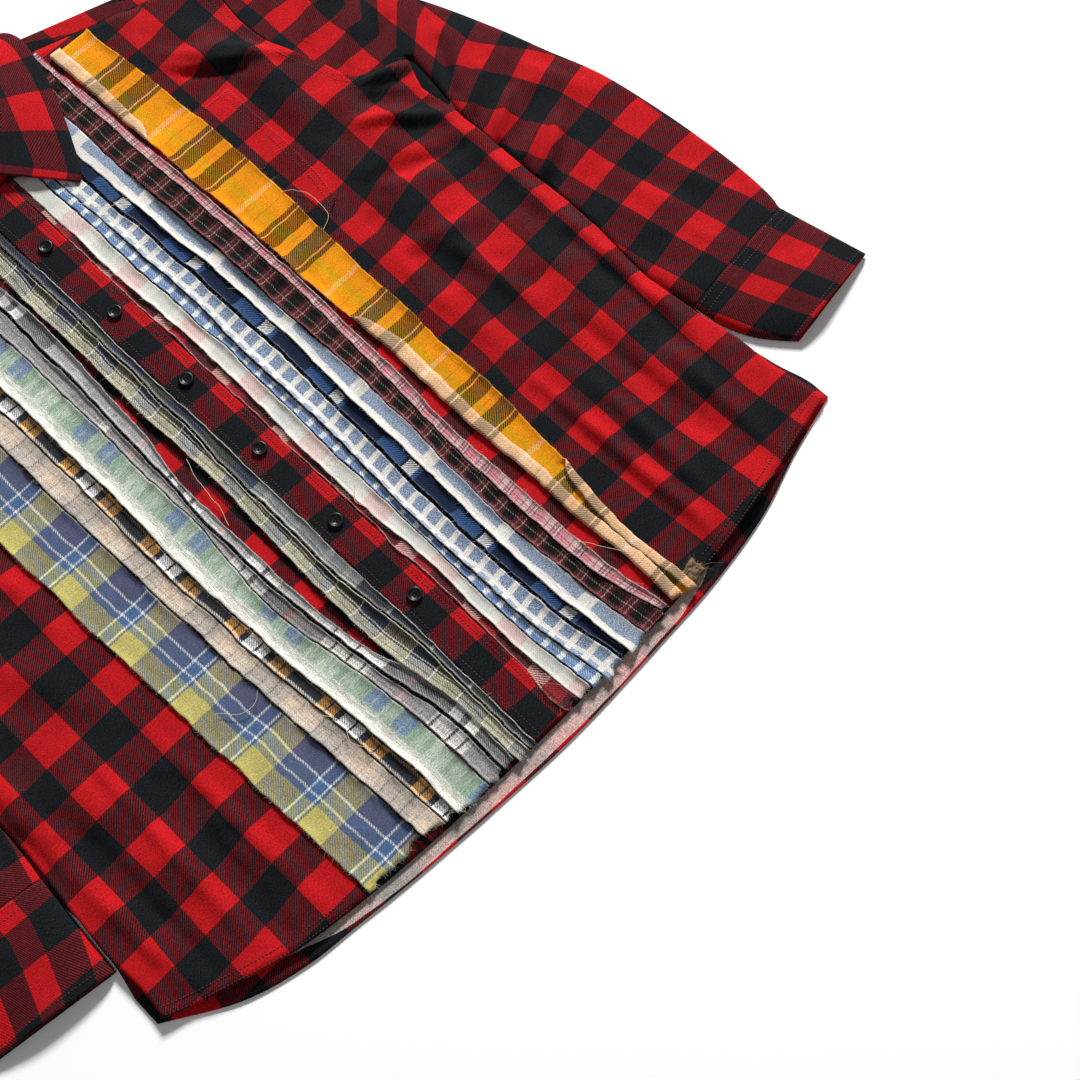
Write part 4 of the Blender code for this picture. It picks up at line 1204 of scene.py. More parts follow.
def grid(rows, columns):
    """Shares along and across a piece."""
    return np.meshgrid(np.linspace(0, 1, rows + 1), np.linspace(0, 1, columns + 1), indexing="ij")


def area_of(points):
    """The area of a grid of points, in square metres."""
    a = points[1:, :-1] - points[:-1, :-1]
    b = points[:-1, 1:] - points[:-1, :-1]
    return float(np.linalg.norm(np.cross(a, b), axis=-1).sum()) * MM * MM


def rests(node, flat, area):
    """Hides the part from model.glb that a cloth piece stands for. The share of its cut that it
    covers is worked out, but not used.
    """
    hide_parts(node)
    share = min(1.0, max(0.3, area / (flat[0] * flat[1])))
    area = share * flat[0] * flat[1]


# ---------------------------------------------------------------- the body
# A place amid a black band of the check, laid on as painted shade.
PAINTED_SHADE_BAND = (1.5 * CHECK_BAND[0], 1.5 * CHECK_BAND[1])
# How near to these raw edges the check beneath is made all black: painted shade for the deep shadow
# in the slits there.
LEFT_SHADED_SLITS = ("under_left", "gingham_left", "navy_left", "white_left", "tartan_left", "pink_left")
SHADED_SLITS = {
    1: dict.fromkeys(LEFT_SHADED_SLITS, 6),
    -1: {"check_left": 6, "green_left": 6, "brown_left": 6, "beige_left": 5, "olive_right": 7},
}
# The left front ends under the placket, and the right one runs on past the line of the buttons.
FRONT_START = {1: 15.3, -1: -14.7}
STRIPS_SHARE = 0.45  # of a front's columns lie under the strips
CORNER_INSET = 6.0  # how far a front's corners at the hem lie inside the back's


def make_front(name, side, rows=184, columns=98):
    t, s = grid(rows, columns)
    if side < 0:
        s = 1 - s
    corner = (SIDE_LEFT if side > 0 else SIDE_RIGHT)["y"][0]
    last, seam = ARMHOLE["y"][-4], ARMHOLE["y"][-2]
    edge_y = corner + (seam - corner) * t
    first = FRONT_START[side]
    reach = body_edge(edge_y, side) - CORNER_INSET * (1 - ease(edge_y, -42, 8))
    x = side * np.where(
        s < STRIPS_SHARE,
        first + (STRIP_AREA - first) * s / STRIPS_SHARE,
        STRIP_AREA + (reach - STRIP_AREA) * (s - STRIPS_SHARE) / (1 - STRIPS_SHARE),
    )
    hem = curve(FRONT_HEM["x"], FRONT_HEM["y"], x)
    up = np.clip((edge_y - last) / (seam - last), 0, 1)
    y = np.where(edge_y < 0, hem * edge_y / corner, edge_y)
    y = np.where(up > 0, last + (front_top(x) - last) * up, y)
    z = front_middle(x, y, side)
    # The hem is turned up twice, so it is thicker, and the stitching draws it in.
    hem_band = 1 - ease(y - hem, HEM_BAND - 1.5, HEM_BAND + 1.0)
    z += 0.55 * hem_band * ease(np.abs(x), STRIP_AREA + 2, STRIP_AREA + 16)
    points = spots(x, y, z)
    tables = (LEFT_COLUMNS, LEFT_ROWS) if side > 0 else (RIGHT_COLUMNS, RIGHT_ROWS)
    weave = check_at(x, y, *tables)
    # Painted shade: along the strips' raw edges the check beneath is made black.
    for edge, half in SHADED_SLITS[side].items():
        weave[np.abs(x - curve(HEIGHTS, EDGES[edge], y)) < half] = PAINTED_SHADE_BAND
    made = cloth_piece(name + "_cloth", points, weave, CLOTH, CHECK)
    rests(name, (0.36, 0.78), area_of(points))


# How much of the back's outside shows along its hem, where the fold of the hem rolls up.
HEM_RIM = {
    "x": (-360, -290, -262, -236, -213, -190, -120, 0, 100, 150, 168, 182, 198, 236, 360),
    "wide": (18, 18, 15, 9, 4.0, 2.2, 1.8, 2.4, 2.0, 4.4, 8.6, 12.5, 16, 18, 18),
}
RIM_ROWS = 3
BACK_CORNER = -72
SIDE_PATCH = 20  # the width along the back's sides that shows its outside


def make_back(rows=120, columns=96):
    t, s = grid(rows, columns)
    rim = RIM_ROWS / rows
    high = YOKE_SEAM_Y - SEAM - BACK_CORNER
    edge_y = BACK_CORNER + high * np.maximum(0, (t - rim) / (1 - rim))
    left, right = -body_edge(edge_y, -1), body_edge(edge_y, 1)
    # The side seams bag out a little under the arms, where it is dark between the layers.
    bag = 13 * np.sin(np.pi * np.clip((edge_y - 342) / 58, 0, 1)) ** 0.5
    bag = np.maximum(bag, 3.5 * plateau(edge_y, (30, 60), (405, 410)))
    bag = np.maximum(bag, 11.0 * plateau(edge_y, (386, 394), (410, 416)))
    x = left - bag + (right - left + 2 * bag) * s
    hem = curve(BACK_HEM["x"], BACK_HEM["y"], x)
    y = np.where(edge_y < 0, hem * edge_y / BACK_CORNER, edge_y)
    wide = curve(HEM_RIM["x"], HEM_RIM["wide"], x) * (1 + 0.2 * wave(x, 11, 14))
    y = y + wide * np.minimum(1, t / rim) * (1 - ease(y - hem, 0, 60))
    z = CLOTH / 2 + 0.2 * ease(bag, 3.5, 6) * ease(np.abs(2 * s - 1), 0.96, 0.99)
    near = 1 - ease(y - hem, 1.0, 9.0)
    z += 0.25 * near * (1 + field(x, y, 30, 12))
    points = spots(x, y, z)
    weave = check_at(x, y, LEFT_COLUMNS, LEFT_ROWS)
    inset = np.minimum(x - left, right - x)
    # Painted shade: near the sides, in the hollow under the arms, the check is made black.
    weave[(inset < 6) & (y > 340) & (y < 414)] = PAINTED_SHADE_BAND
    patch = (t[:-1, :-1] < rim - 1e-6) | (inset < SIDE_PATCH)[:-1, :-1]
    # The back's inside face takes the hem's paler cloth, partly painted light.
    finishes = [hem_inside_painted_light, check, check, check]
    made = cloth_piece("back_cloth", points, weave, CLOTH, finishes, patch=patch)
    rests("back", (0.74, 0.72), area_of(points))


YOKE_ROWS = {"lower": 24, "turn": 30, "all": 44}
YOKE_ENDS = 262  # its turned-in edges beyond this show the outside


def make_yoke():
    t, s = grid(YOKE_ROWS["all"], 120)
    x = -SHOULDER_TIP[0] + 2 * SHOULDER_TIP[0] * s
    far = np.maximum(np.abs(x), HPS[0])
    half_gap = HOLLOW / 2
    fold = shoulder_y(far) - CLOTH - half_gap
    neck = BACK_NECK_Y + (HPS[1] - BACK_NECK_Y - CLOTH - half_gap) * (x / HPS[0]) ** 2
    top = np.where(np.abs(x) < HPS[0], neck, fold)
    seam_y = front_top(np.minimum(far, ARMHOLE["x"][-2])) + SEAM
    lower, turn = (YOKE_ROWS[key] / YOKE_ROWS["all"] for key in ("lower", "turn"))
    angle = np.clip((t - lower) / (turn - lower), 0, 1) * np.pi
    below = YOKE_SEAM_Y + (top - YOKE_SEAM_Y) * t / lower
    y = np.where(t <= lower, below, fold + half_gap * np.sin(angle))
    y = np.where(t > turn, fold + (seam_y - fold) * (t - turn) / (1 - turn), y)
    z = np.where(t <= lower, CLOTH, CLOTH + half_gap * (1 - np.cos(angle)))
    x = np.sign(x) * np.minimum(np.abs(x), body_edge(y, 1))
    points = spots(x, y, z)
    weave = check_at(x, np.where(t > lower, 2 * top - y, y), RIGHT_COLUMNS, RIGHT_ROWS)
    drop = (t[:-1, :-1] >= lower - 1e-6) & (np.abs(x[:-1, :-1] + x[:-1, 1:]) / 2 < HPS[0])
    cells = {"patch": (np.abs(x) > YOKE_ENDS)[:-1, :-1], "drop": drop}
    finishes = [*CHECK, check]
    made = cloth_piece("yoke_cloth", points, weave, CLOTH, finishes, offset=1, flip=True, **cells)
    rests("yoke", (0.58, 0.16), area_of(points) * 0.9)


PLACKET_SEWING = 11.7  # how far the rows of stitching lie from the line of the buttons


def make_placket():
    t, s = grid(240, 16)
    x = -PLACKET_HALF + 2 * PLACKET_HALF * s
    y = PLACKET_END + (CENTRE_NECK_Y - SEAM - 2 - PLACKET_END) * t
    z = ON_FRONT_Z + CLOTH / 2 + 0.12 * field(x, y, 18, 21)
    # Two rows of stitching draw the band in, and it swells a little between them.
    from_sewing = np.clip(np.abs(x) - PLACKET_SEWING, -5, 5) / 5
    z += 0.25 * np.cos(from_sewing * np.pi + np.pi) * ease(np.abs(x), 6, 10)
    points = spots(x, y, z)
    weave = check_at(x, y, PLACKET_COLUMNS, PLACKET_ROWS)
    made = cloth_piece("placket_cloth", points, weave, CLOTH, CHECK)
    rests("placket", (0.0346, 0.675), area_of(points))


POCKET = {"y": (344, 372, 420, 495), "left": (113, 107, 104, 103), "right": (206, 212, 215, 216)}
POCKET_MOUTH, POCKET_FOOT = 494.5, (344, 319, 344)


def make_pocket():
    t, s = grid(70, 50)
    foot = np.interp(s, (0, 0.5, 1), POCKET_FOOT)
    y = foot + (POCKET_MOUTH - foot) * t
    left, right = (np.interp(y, POCKET["y"], POCKET[key]) for key in ("left", "right"))
    x = left + (right - left) * s
    z = ON_FRONT_Z + CLOTH / 2 + 0.1 * field(x, y, 16, 31) + 0.2 * ease(x, 205, 214)
    points = spots(x, y, z)
    weave = check_at(x, y, LEFT_COLUMNS, LEFT_ROWS)
    made = cloth_piece("pocket_cloth", points, weave, CLOTH, CHECK)
    rests("pocket", (0.113, 0.176), area_of(points))


# ---------------------------------------------------------------- sleeves and cuffs
def armhole_line(share):
    """The line along the armhole that a sleeve is sewn to, just outside it."""
    steps = lengths_along(np.stack([ARMHOLE["x"], ARMHOLE["y"]], axis=-1))
    at = share * steps[-1]
    place, before, after = (
        np.stack([np.interp(step, steps, ARMHOLE[axis]) for axis in ("x", "y")], axis=-1)
        for step in (at, at - ARMHOLE_GAP, at + ARMHOLE_GAP)
    )
    run = after - before
    run = run / np.linalg.norm(run, axis=-1, keepdims=True)
    return place + np.stack([run[..., 1], -run[..., 0]], axis=-1) * ARMHOLE_GAP


def make_tube(name, side, table, folds, tables, thick, size, sewn, seed):
    """A flattened tube of check cloth from its table of rings. sewn says that its first ring
    follows the armhole. Gives the piece with its points."""
    rings, (rows, around) = table[name.split("_")[1]], size
    t, q = grid(rows, 2 * around)
    keys = np.arange(len(rings["high"]))
    number = t * keys[-1]
    inner, outer = (
        np.stack([curve(keys, rings[f"{edge}_{axis}"], number) for axis in "xy"], axis=-1)
        for edge in ("inner", "outer")
    )
    high = curve(keys, rings["high"], number)
    top = q > 0.5
    share = 0.5 - 0.5 * np.cos(np.pi * np.where(top, 2 - 2 * q, 2 * q))
    if sewn:
        start, end = armhole_line(np.zeros_like(t)), armhole_line(np.ones_like(t))
        first = np.clip(1 - number, 0, 1)[..., None]
        inner = inner * (1 - first) + start * first
        outer = outer * (1 - first) + end * first
    place = inner + (outer - inner) * share[..., None]
    width = np.linalg.norm(outer - inner, axis=-1)
    if sewn:
        bow = np.clip(1 - number / 4, 0, 1)[..., None]
        chord = start * (1 - share[..., None]) + end * share[..., None]
        place = place + (armhole_line(share) - chord) * bow
    x, y = place[..., 0], place[..., 1]
    away = np.minimum(share, 1 - share) * width
    rounding = np.sqrt(1 - (1 - np.minimum(away, EDGE_ROUND) / EDGE_ROUND) ** 2)
    extra = (high - FRONT_Z - CLOTH) * np.sin(np.pi * np.clip(share, 0, 1) ** 0.8) ** 0.7
    near = ease(away, 0.5, 8)
    extra = extra + ridges(x, y, folds) * near * np.minimum(1, number)
    rumple = 0.9 * field(x, y, 38, seed) + 0.4 * field(x, y, 15, seed + 1)
    extra = extra + rumple * near * np.clip(number, 0, 1)
    middle = (FRONT_Z + CLOTH) / 2
    up = middle + (FRONT_Z + CLOTH + np.maximum(extra, -0.8) - middle) * rounding
    points = spots(side * x, y, np.where(top, up, middle * (1 - rounding)))
    weave = check_at(x, y, *tables)
    fold = check_at(outer[..., 0], outer[..., 1], *tables)
    weave[..., 0] = np.where(top, weave[..., 0], 2 * fold[..., 0] - weave[..., 0])
    finishes = CHECK if sewn else [check] * 3
    made = cloth_piece(name + "_cloth", points, weave, thick, finishes, offset=-1, flip=side < 0)
    return made, points


def make_sleeve(name, side):
    tables, seed = (SLEEVE_COLUMNS, SLEEVE_ROWS), 40 if side > 0 else 44
    made, points = make_tube(
        name, side, SLEEVE_RINGS, SLEEVE_FOLDS, tables, CLOTH, (156, 40), True, seed
    )
    rests(name, (0.5, 0.6), area_of(points))


def make_cuff(name, side):
    tables, seed = (CUFF_COLUMNS, CUFF_ROWS), 50 if side > 0 else 54
    made, points = make_tube(name, side, CUFF_RINGS, [], tables, CUFF_CLOTH, (40, 44), False, seed)
    rests(name, (0.25, 0.09), area_of(points))
    # The rows of stitching beside the seam and the mouth run over the top.
    on_top = points[:, 46:-2] + np.array((0, 0, 0.12))
    return [on_top[row] for row in (1, 4, 37)]


# ---------------------------------------------------------------- the collar
MIRROR = np.array((-1.0, 1.0, 1.0))


def ring_of(key, steps=6):
    """The collar's table, mirrored to both sides, as one smooth line of points."""
    half = np.array(COLLAR[key], float).reshape(len(COLLAR["roll"]), -1)
    ring = np.concatenate([half, half[-2::-1] * (MIRROR if half.shape[1] == 3 else 1.0)])
    keys = np.arange(len(ring))
    at = np.linspace(0, keys[-1], keys[-1] * steps + 1)
    return np.stack([curve(keys, ring[:, k], at) for k in range(ring.shape[1])], axis=-1)


def make_collar():
    low, top, edge, roll = (ring_of(key) for key in ("low", "top", "edge", "roll"))
    height = np.linspace(0, 1, 7)[:, None, None]
    stand = low[None] + (top - low)[None] * height
    across = lengths_along(top)
    weave = np.zeros(stand.shape[:2] + (2,))
    weave[..., 0] = across[None] + 12
    weave[..., 1] = height[..., 0] * 24 + 10
    made = cloth_piece("collar_stand_cloth", stand, weave, CUFF_CLOTH, [check] * 3, offset=1)
    rests("collar_stand", (0.5, 0.03), area_of(stand))
    along = np.gradient(top, axis=0)
    along[0] = along[-1] = (1.0, 0, 0)
    up = (top - low) / np.linalg.norm(top - low, axis=1)[:, None]
    out = np.cross(along, up)
    out /= np.linalg.norm(out, axis=1)[:, None]
    rim = top + out * CUFF_CLOTH / 2
    angles = np.radians(np.linspace(45, 180, 8))
    over = [rim + roll * (up * np.sin(a) - out * np.cos(a)) for a in angles]
    bulge = np.array((0, 0, 1)) * 1.1
    shares = np.linspace(0, 1, 15)[1:]
    fall = [over[-1] * (1 - k) + edge * k + bulge * np.sin(np.pi * k) for k in shares]
    rows = np.array([*reversed(fall), *reversed(over)])
    rows[len(fall) :, 0, 0] += STAND_END
    # The last column mirrors the first: the two points of the collar lean apart.
    rows[:, -1] = rows[:, 0] * MIRROR
    spread = np.linalg.norm(np.diff(rows, axis=0), axis=2)
    down = np.concatenate([np.zeros((1, len(top))), np.cumsum(spread, axis=0)])
    weave = np.stack([np.broadcast_to(across[None], down.shape) + 20, 40 - down], axis=-1)
    made = cloth_piece("collar_cloth", rows, weave, CLOTH, [check] * 3, offset=1)
    rests("collar", (0.47, 0.09), area_of(rows))


# ---------------------------------------------------------------- the strips
# In turn from the wearer's left: the table's names of a strip's left and right edges, how far
# those edges curl up, and where its lower end lies.
STRIPS = [
    ("orange_plaid", "orange_left", "orange_right", (4.2, 2.0), -114.0),
    ("pink_check", "pink_left", "pink_right", (6.6, 2.4), -110.0),
    ("red_tartan", "tartan_left", "pink_left", (3.4, 1.2), -115.0),
    ("white_denim", "white_left", "tartan_left", (4.8, 1.8), -116.5),
    ("navy_twill", "navy_left", "white_left", (3.4, 1.0), -113.0),
    ("blue_gingham", "gingham_left", "navy_left", (4.6, 1.6), -118.0),
    ("blue_under", "under_left", "gingham_left", (3.0, 1.0), -114.0),
    ("cream_pink", "cream_left", "under_left", (4.4, 1.8), -113.0),
    ("maroon_edge", "fringe_left", "cream_left", (2.2, 0.8), -112.0),
    ("slate_layer", "olive_right", "slate_right", (3.4, 2.4), -111.0),
    ("olive_plaid", "olive_left", "olive_right", (4.4, 3.0), -114.0),
    ("grey_check", "check_left", "check_right", (4.4, 4.4), -111.0),
    ("grey_fuzzy", "grey_left", "check_left", (4.8, 2.2), -111.0),
    ("cream_green", "green_left", "grey_left", (4.6, 1.8), -111.0),
    ("brown_check", "brown_left", "green_left", (3.4, 1.2), -106.0),
    ("beige_fuzzy", "beige_left", "brown_left", (4.0, 1.4), -105.0),
    ("blue_yellow", "blue_left", "beige_left", (1.6, 1.6), -102.0),
]
# How far a raw edge rolls right over, so that its inside shows: for a strip's left and right
# edge, the width in millimetres that is turned over, on some heights.
ROLLED = {
    ("orange_plaid", "left"): (
        (-112, -60, -20, 20, 40, 100, 200, 235, 250, 500, 520, 600),
        (7.5, 8.5, 8.5, 8.5, 9, 9, 11.5, 7, 0, 0, 7, 10),
    ),
    ("orange_plaid", "right"): (
        (-112, -60, -10, 15, 26, 34),
        (6, 6.5, 7, 6, 3.5, 0),
    ),
}
# Where a raw edge strays further from its line: heights, and how far it strays there.
BENDS = {
    "check_right": (
        (-112, 0, 20, 50, 100, 150, 205, 250, 265, 290), (0, 0, -3, -5, -5, -3, -4, -4.5, -4, 0),
    ),
    "fringe_left": (
        (-112, -90, -60, -30, 0, 40, 60, 80, 100), (-3, -4.5, -1, 0, 0.5, 2, 1, -1, 0),
    ),
    "pink_right": ((-112, -60, 0, 30, 60, 100), (0, -1, -1.5, 0, 0, 0)),
    "orange_left": ((-112, -60, -20, 30, 60, 100), (0, -1, -2, 0, 1, 0)),
    "olive_right": ((-112, 20, 60, 90, 180, 230, 620), (0, 1, -1, -3, -3, -2.5, 0)),
}

# How far a strip's left and right edge lie inside its place, where not 0.8 and 0.6 mm.
TRIMS = {
    "navy_twill": (1.3, 0.8),
    "blue_gingham": (0.8, 1.9),
    "pink_check": (0.6, 0.9),
    "slate_layer": (1.9, 0.1),
    "olive_plaid": (0.6, 0.9),
    "grey_check": (2.1, 0.5),
    "grey_fuzzy": (0.9, 1.1),
    "cream_pink": (0.6, 1.0),
    "red_tartan": (0.9, 1.3),
    "orange_plaid": (0.5, 0.4),
    "blue_yellow": (0.4, 0.9),
}
NARROWEST = 0.0105  # a sheet's least stated width, in metres
SECTION = {"tail": 3, "curl": 6, "flat": 7}  # steps across each part of a strip
FULL_CURL = 9.0
ROLL_ARC, ROLL_ANGLE = 5.6, 3.05  # of an edge that is rolled right over
PALE_ENDS = {"spacing": 0.7, "long": 2.8}
UP = np.array((0, 0, 1.0))
AHEAD = np.array((0, 1.0, 0))


def side_path(curl, lift, tail, tail_steps):
    """How a raw edge runs from the flat outwards: arrays of how far out and up it is."""
    rolled = np.clip(tail / 3.0, 0, 1)
    angle_end = np.minimum(2 * lift / curl, 1.3) * (1 - rolled) + ROLL_ANGLE * rolled
    arc = (curl * (1 - rolled) + ROLL_ARC * rolled) / SECTION["curl"]
    path = [np.zeros((3, len(curl)))]
    for k in range(SECTION["curl"]):
        angle = angle_end * (k + 0.5) / SECTION["curl"]
        path.append(path[-1] + (np.cos(angle) * arc, np.sin(angle) * arc, arc))
    for _ in range(tail_steps):
        step = tail / tail_steps
        path.append(path[-1] + (np.cos(angle_end) * step, -0.06 * step, step))
    return np.array(path).transpose(1, 0, 2)


def strip_top(left, right):
    short = 2.5 if min(abs(left), abs(right)) > HPS[0] else 7.0
    return min(float(front_top(x)) for x in (left, right, (left + right) / 2)) - short


# Where a strip's end is crumpled up in a knot: its middle and its half size.
TUFTS = {"orange_plaid": ((166.0, -107.0), (8.5, 7.0))}


def make_tuft(name, seed):
    """The crumpled end of a strip, with its threads."""
    (x0, y0), (wide, high) = TUFTS[name]
    t, s = grid(18, 22)
    x, y = x0 + (2 * s - 1) * wide, y0 + (2 * t - 1) * high + 3 * (s - 0.5)
    x = x + 1.6 * field(t * 20, s * 20, 6, seed)
    y = y + 1.6 * field(s * 20, t * 20, 6, seed + 1)
    dome = np.sin(np.pi * s) ** 0.5 * np.sin(np.pi * t) ** 0.5
    z = ON_FRONT_Z + 1.0 + dome * (2.4 + 2.2 * field(x, y, 4.2, seed + 2))
    points = spots(x, y, z)
    weave = np.stack([x, y], axis=-1)
    tangle = raw_edge("tangled_end_of_the_yarn", "#3A3226", "#8A745A")
    knot = cloth_piece(f"crumple_{name}", points, weave, STRIP_CLOTH * 0.7, [tangle] * 3)
    border = np.concatenate([points[0], points[:, -1], points[-1, ::-1], points[::-1, 0]])
    middle = spots(x0, y0, np.full(len(border), ON_FRONT_Z + 2.0))
    edges = [(border, middle, np.tile(UP, (len(border), 1)))] * 3
    return [knot, fray(f"crumple_fray_{name}", edges, tangle, seed + 3, spacing=0.5, long=4.0)]


def raw_line(y, edge, trim, seed):
    """The line of a strip's raw edge, as uneven as it was cut."""
    own = sum(ord(letter) for letter in edge)
    x = curve(HEIGHTS, EDGES[edge], y) + trim
    x += 1.1 * wave(y, 34, own) + 0.5 * wave(y, 9, own + 1)
    if edge in BENDS:
        x += curve(*BENDS[edge], y)
    return x + 0.35 * wave(y, 4.5, seed)


def make_strip(number, name, left, right, lifts, end, rows=196):
    at_top = (EDGES[left][-1], EDGES[right][-1])
    top = strip_top(*at_top)
    y = np.linspace(end, top, rows + 1)
    seed = 100 + 10 * number
    trims = TRIMS.get(name, (0.8, 0.6))
    x_left = raw_line(y, left, trims[0], seed + 2)
    x_right = raw_line(y, right, -trims[1], seed + 3)
    width = x_right - x_left
    curl = np.minimum(FULL_CURL, 0.45 * width)
    calm = 1 - ease(y, 450, 500) * (abs(sum(at_top) / 2) < 130)
    paths = []
    for k, (side, pitches) in enumerate({"left": (42, 12), "right": (38, 11)}.items()):
        swell = 1 + 0.45 * wave(y, pitches[0], seed + k) + 0.2 * wave(y, pitches[1], seed + 4 + k)
        table = ROLLED.get((name, side))
        tail = np.interp(y, *table) if table else np.zeros_like(y)
        lift = lifts[k] * np.maximum(0.12, calm * swell)
        paths.append(side_path(curl, lift, tail, SECTION["tail"] if table else 0))
    flat_left, flat_right = x_left + paths[0][0].max(axis=0), x_right - paths[1][0].max(axis=0)
    squeezed = flat_left > flat_right - 0.4
    middle = (flat_left + flat_right) / 2
    flat_left = np.where(squeezed, middle - 0.2, flat_left)
    flat = np.where(squeezed, middle + 0.2, flat_right) - flat_left
    base = ON_FRONT_Z + STRIP_CLOTH / 2
    over_pocket = EDGES[left][0] > 90
    if over_pocket:
        base = base + POCKET_STEP * plateau(y, (310, 320), (494, 502))
    ripple = 0.3 * wave(y, 8, seed + 6) + 0.55 * wave(y, 26, seed + 7)
    # Across it from left to right: where each line of points lies, how high and how far along.
    lines = [
        (flat_left - out, base + up + ripple * np.minimum(1, up), -length)
        for out, up, length in paths[0].transpose(1, 0, 2)[::-1]
    ]
    for share in np.linspace(0, 1, SECTION["flat"] + 1)[1:-1]:
        lines.append((flat_left + flat * share, base + 0 * y, flat * share))
    for out, up, length in paths[1].transpose(1, 0, 2):
        height = base + up - ripple * np.minimum(1, up)
        lines.append((flat_left + flat + out, height, flat + length))
    x, z, across = (np.stack(part, axis=1) for part in zip(*lines))
    points = spots(x, y[:, None], z)
    # The lower end is cut aslant and crumples.
    ends = 1 - ease(y, end, end + 14)[:, None]
    slant = 3.0 * wave(number, 1, 8) * (x - middle[:, None]) / width[:, None]
    points[..., 1] += (2.6 * wave(x, 6, seed + 8) + slant) * ends
    points[..., 2] += (0.5 + 0.5 * wave(x, 9, seed + 9)) * ends * 1.2
    first = len(paths[0][0]) - 1 - SECTION["curl"]
    u = across - across[:, first, None] + 0.4 * wave(y, 60, seed)[:, None]
    v = points[..., 1] - CLOTHS[name]["from"] + 0.7 * wave(x * 3, 30, seed + 5)
    finishes = strip_finishes(name, CLOTHS[name])
    thick = STRIP_CLOTH * 0.85
    made = cloth_piece(f"strip_{name}_cloth", points, np.stack([u, v], axis=-1), thick, finishes)
    edges = []
    for outer, inner, sign in ((0, 5, 1), (-1, -6, -1)):
        over = np.cross(sign * (points[:, inner] - points[:, outer]), AHEAD)
        over /= np.linalg.norm(over, axis=1)[:, None] + 1e-9
        edges.append((points[:, outer], points[:, inner], over))
    extra = [fray(f"fray_{name}", edges, finishes[2], seed)]
    lower = [(points[0], points[3], np.tile(UP, (points.shape[1], 1)))]
    extra.append(fray(f"end_fray_{name}", lower, finishes[2], seed + 1, **PALE_ENDS))
    if name in TUFTS:
        extra += make_tuft(name, seed)
    mean = float(np.mean(across[:, -1] - across[:, 0])) * MM
    long = (top - end) * MM
    flat = (max(NARROWEST, mean), long)
    rests(f"strip_{name}", flat, mean * long)


# ---------------------------------------------------------------- buttons
BUTTON = {
    "radius": (0.0, 3.5, 3.9, 4.5, 5.4, 6.2, 6.5, 6.3, 5.2, 4.2, 0.0),
    "height": (1.25, 1.25, 1.6, 2.35, 2.7, 2.4, 1.6, 0.8, 0.25, 0.0, 0.0),
}
HOLE_RADIUS, HOLE_OUT = 0.75, 1.45


def button_mesh():
    """A turned four-hole button with a raised rim."""
    bm = bmesh.new()
    spun = [bm.verts.new((r, 0, h)) for r, h in zip(BUTTON["radius"], BUTTON["height"])]
    spun += [bm.edges.new(pair) for pair in zip(spun, spun[1:])]
    turn = {"cent": (0, 0, 0), "axis": (0, 0, 1), "angle": 2 * np.pi}
    bmesh.ops.spin(bm, geom=spun, steps=40, use_merge=True, **turn)
    bmesh.ops.remove_doubles(bm, verts=bm.verts, dist=1e-4)
    bmesh.ops.recalc_face_normals(bm, faces=bm.faces)
    body = show("button_turned", mesh_of(bm, "button_turned"))
    bm = bmesh.new()
    for angle in np.radians((45, 135, 225, 315)):
        place = Matrix.Translation((HOLE_OUT * np.cos(angle), HOLE_OUT * np.sin(angle), 0.5))
        hole = {"radius1": HOLE_RADIUS, "radius2": HOLE_RADIUS, "depth": 6.0}
        bmesh.ops.create_cone(bm, cap_ends=True, segments=16, matrix=place, **hole)
    cutter = show("button_holes", mesh_of(bm, "button_holes"))
    cut = body.modifiers.new("Holes", "BOOLEAN")
    cut.operation, cut.object, cut.solver = "DIFFERENCE", cutter, "EXACT"
    done = body.evaluated_get(bpy.context.evaluated_depsgraph_get())
    done = bpy.data.meshes.new_from_object(done)
    bpy.data.objects.remove(body)
    bpy.data.objects.remove(cutter)
    return done


def make_button(name, shape, place, tilt, turn):
    mesh = shape.copy()
    mesh.name = name + "_resin"
    matrix = Matrix.Rotation(tilt, 4, "X") @ Matrix.Rotation(turn, 4, "Z")
    mesh.transform(Matrix.Translation(place) @ matrix)
    mesh.transform(Matrix.Scale(MM, 4) @ Matrix.Translation(-Vector(ORIGIN)))
    mesh.shade_smooth()
    mesh.set_sharp_from_angle(angle=np.radians(50))
    made = piece(name + "_resin", mesh, [resin])
    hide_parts(name)
    # Two bars of thread go through the four holes.
    k = np.linspace(-1, 1, 7)
    hole = HOLE_OUT * 0.71
    bars = [spots(k * hole, side * hole, 1.2 + 0.45 * (1 - k * k)) for side in (-1, 1)]
    bars = [bar @ np.array(matrix.to_3x3()).T + np.array(place) for bar in bars]
    sewn = stitches(name + "_thread", bars, resin_thread, pitch=0.5, wide=0.5)


# ---------------------------------------------------------------- everything in turn
make_back()
make_yoke()
make_front("front_left", 1)
make_front("front_right", -1)
make_placket()
make_pocket()
make_sleeve("sleeve_left", 1)
make_sleeve("sleeve_right", -1)
cuff_lines = make_cuff("cuff_left", 1) + make_cuff("cuff_right", -1)
make_collar()
for strip_number, strip in enumerate(STRIPS):
    make_strip(strip_number, *strip)

shape = button_mesh()
for i in range(PLACKET_BUTTONS):
    place = (0, LOWEST_BUTTON + BUTTON_PITCH * i, ON_FRONT_Z + CLOTH + SEAM)
    make_button(f"button_{i + 1}", shape, place, 0.0, 0.4 * i + 0.2)
stand_low, stand_top = np.array(COLLAR["low"][0], float), np.array(COLLAR["top"][0], float)
stand_up = (stand_top - stand_low) / np.linalg.norm(stand_top - stand_low)
stand_out = np.array((0, -stand_up[2], stand_up[1]))
seat = (stand_low + stand_top) / 2 + stand_out * (CUFF_CLOTH + SEAM)
make_button("button_7", shape, tuple(seat), float(np.arcsin(stand_up[2])), 0.3)


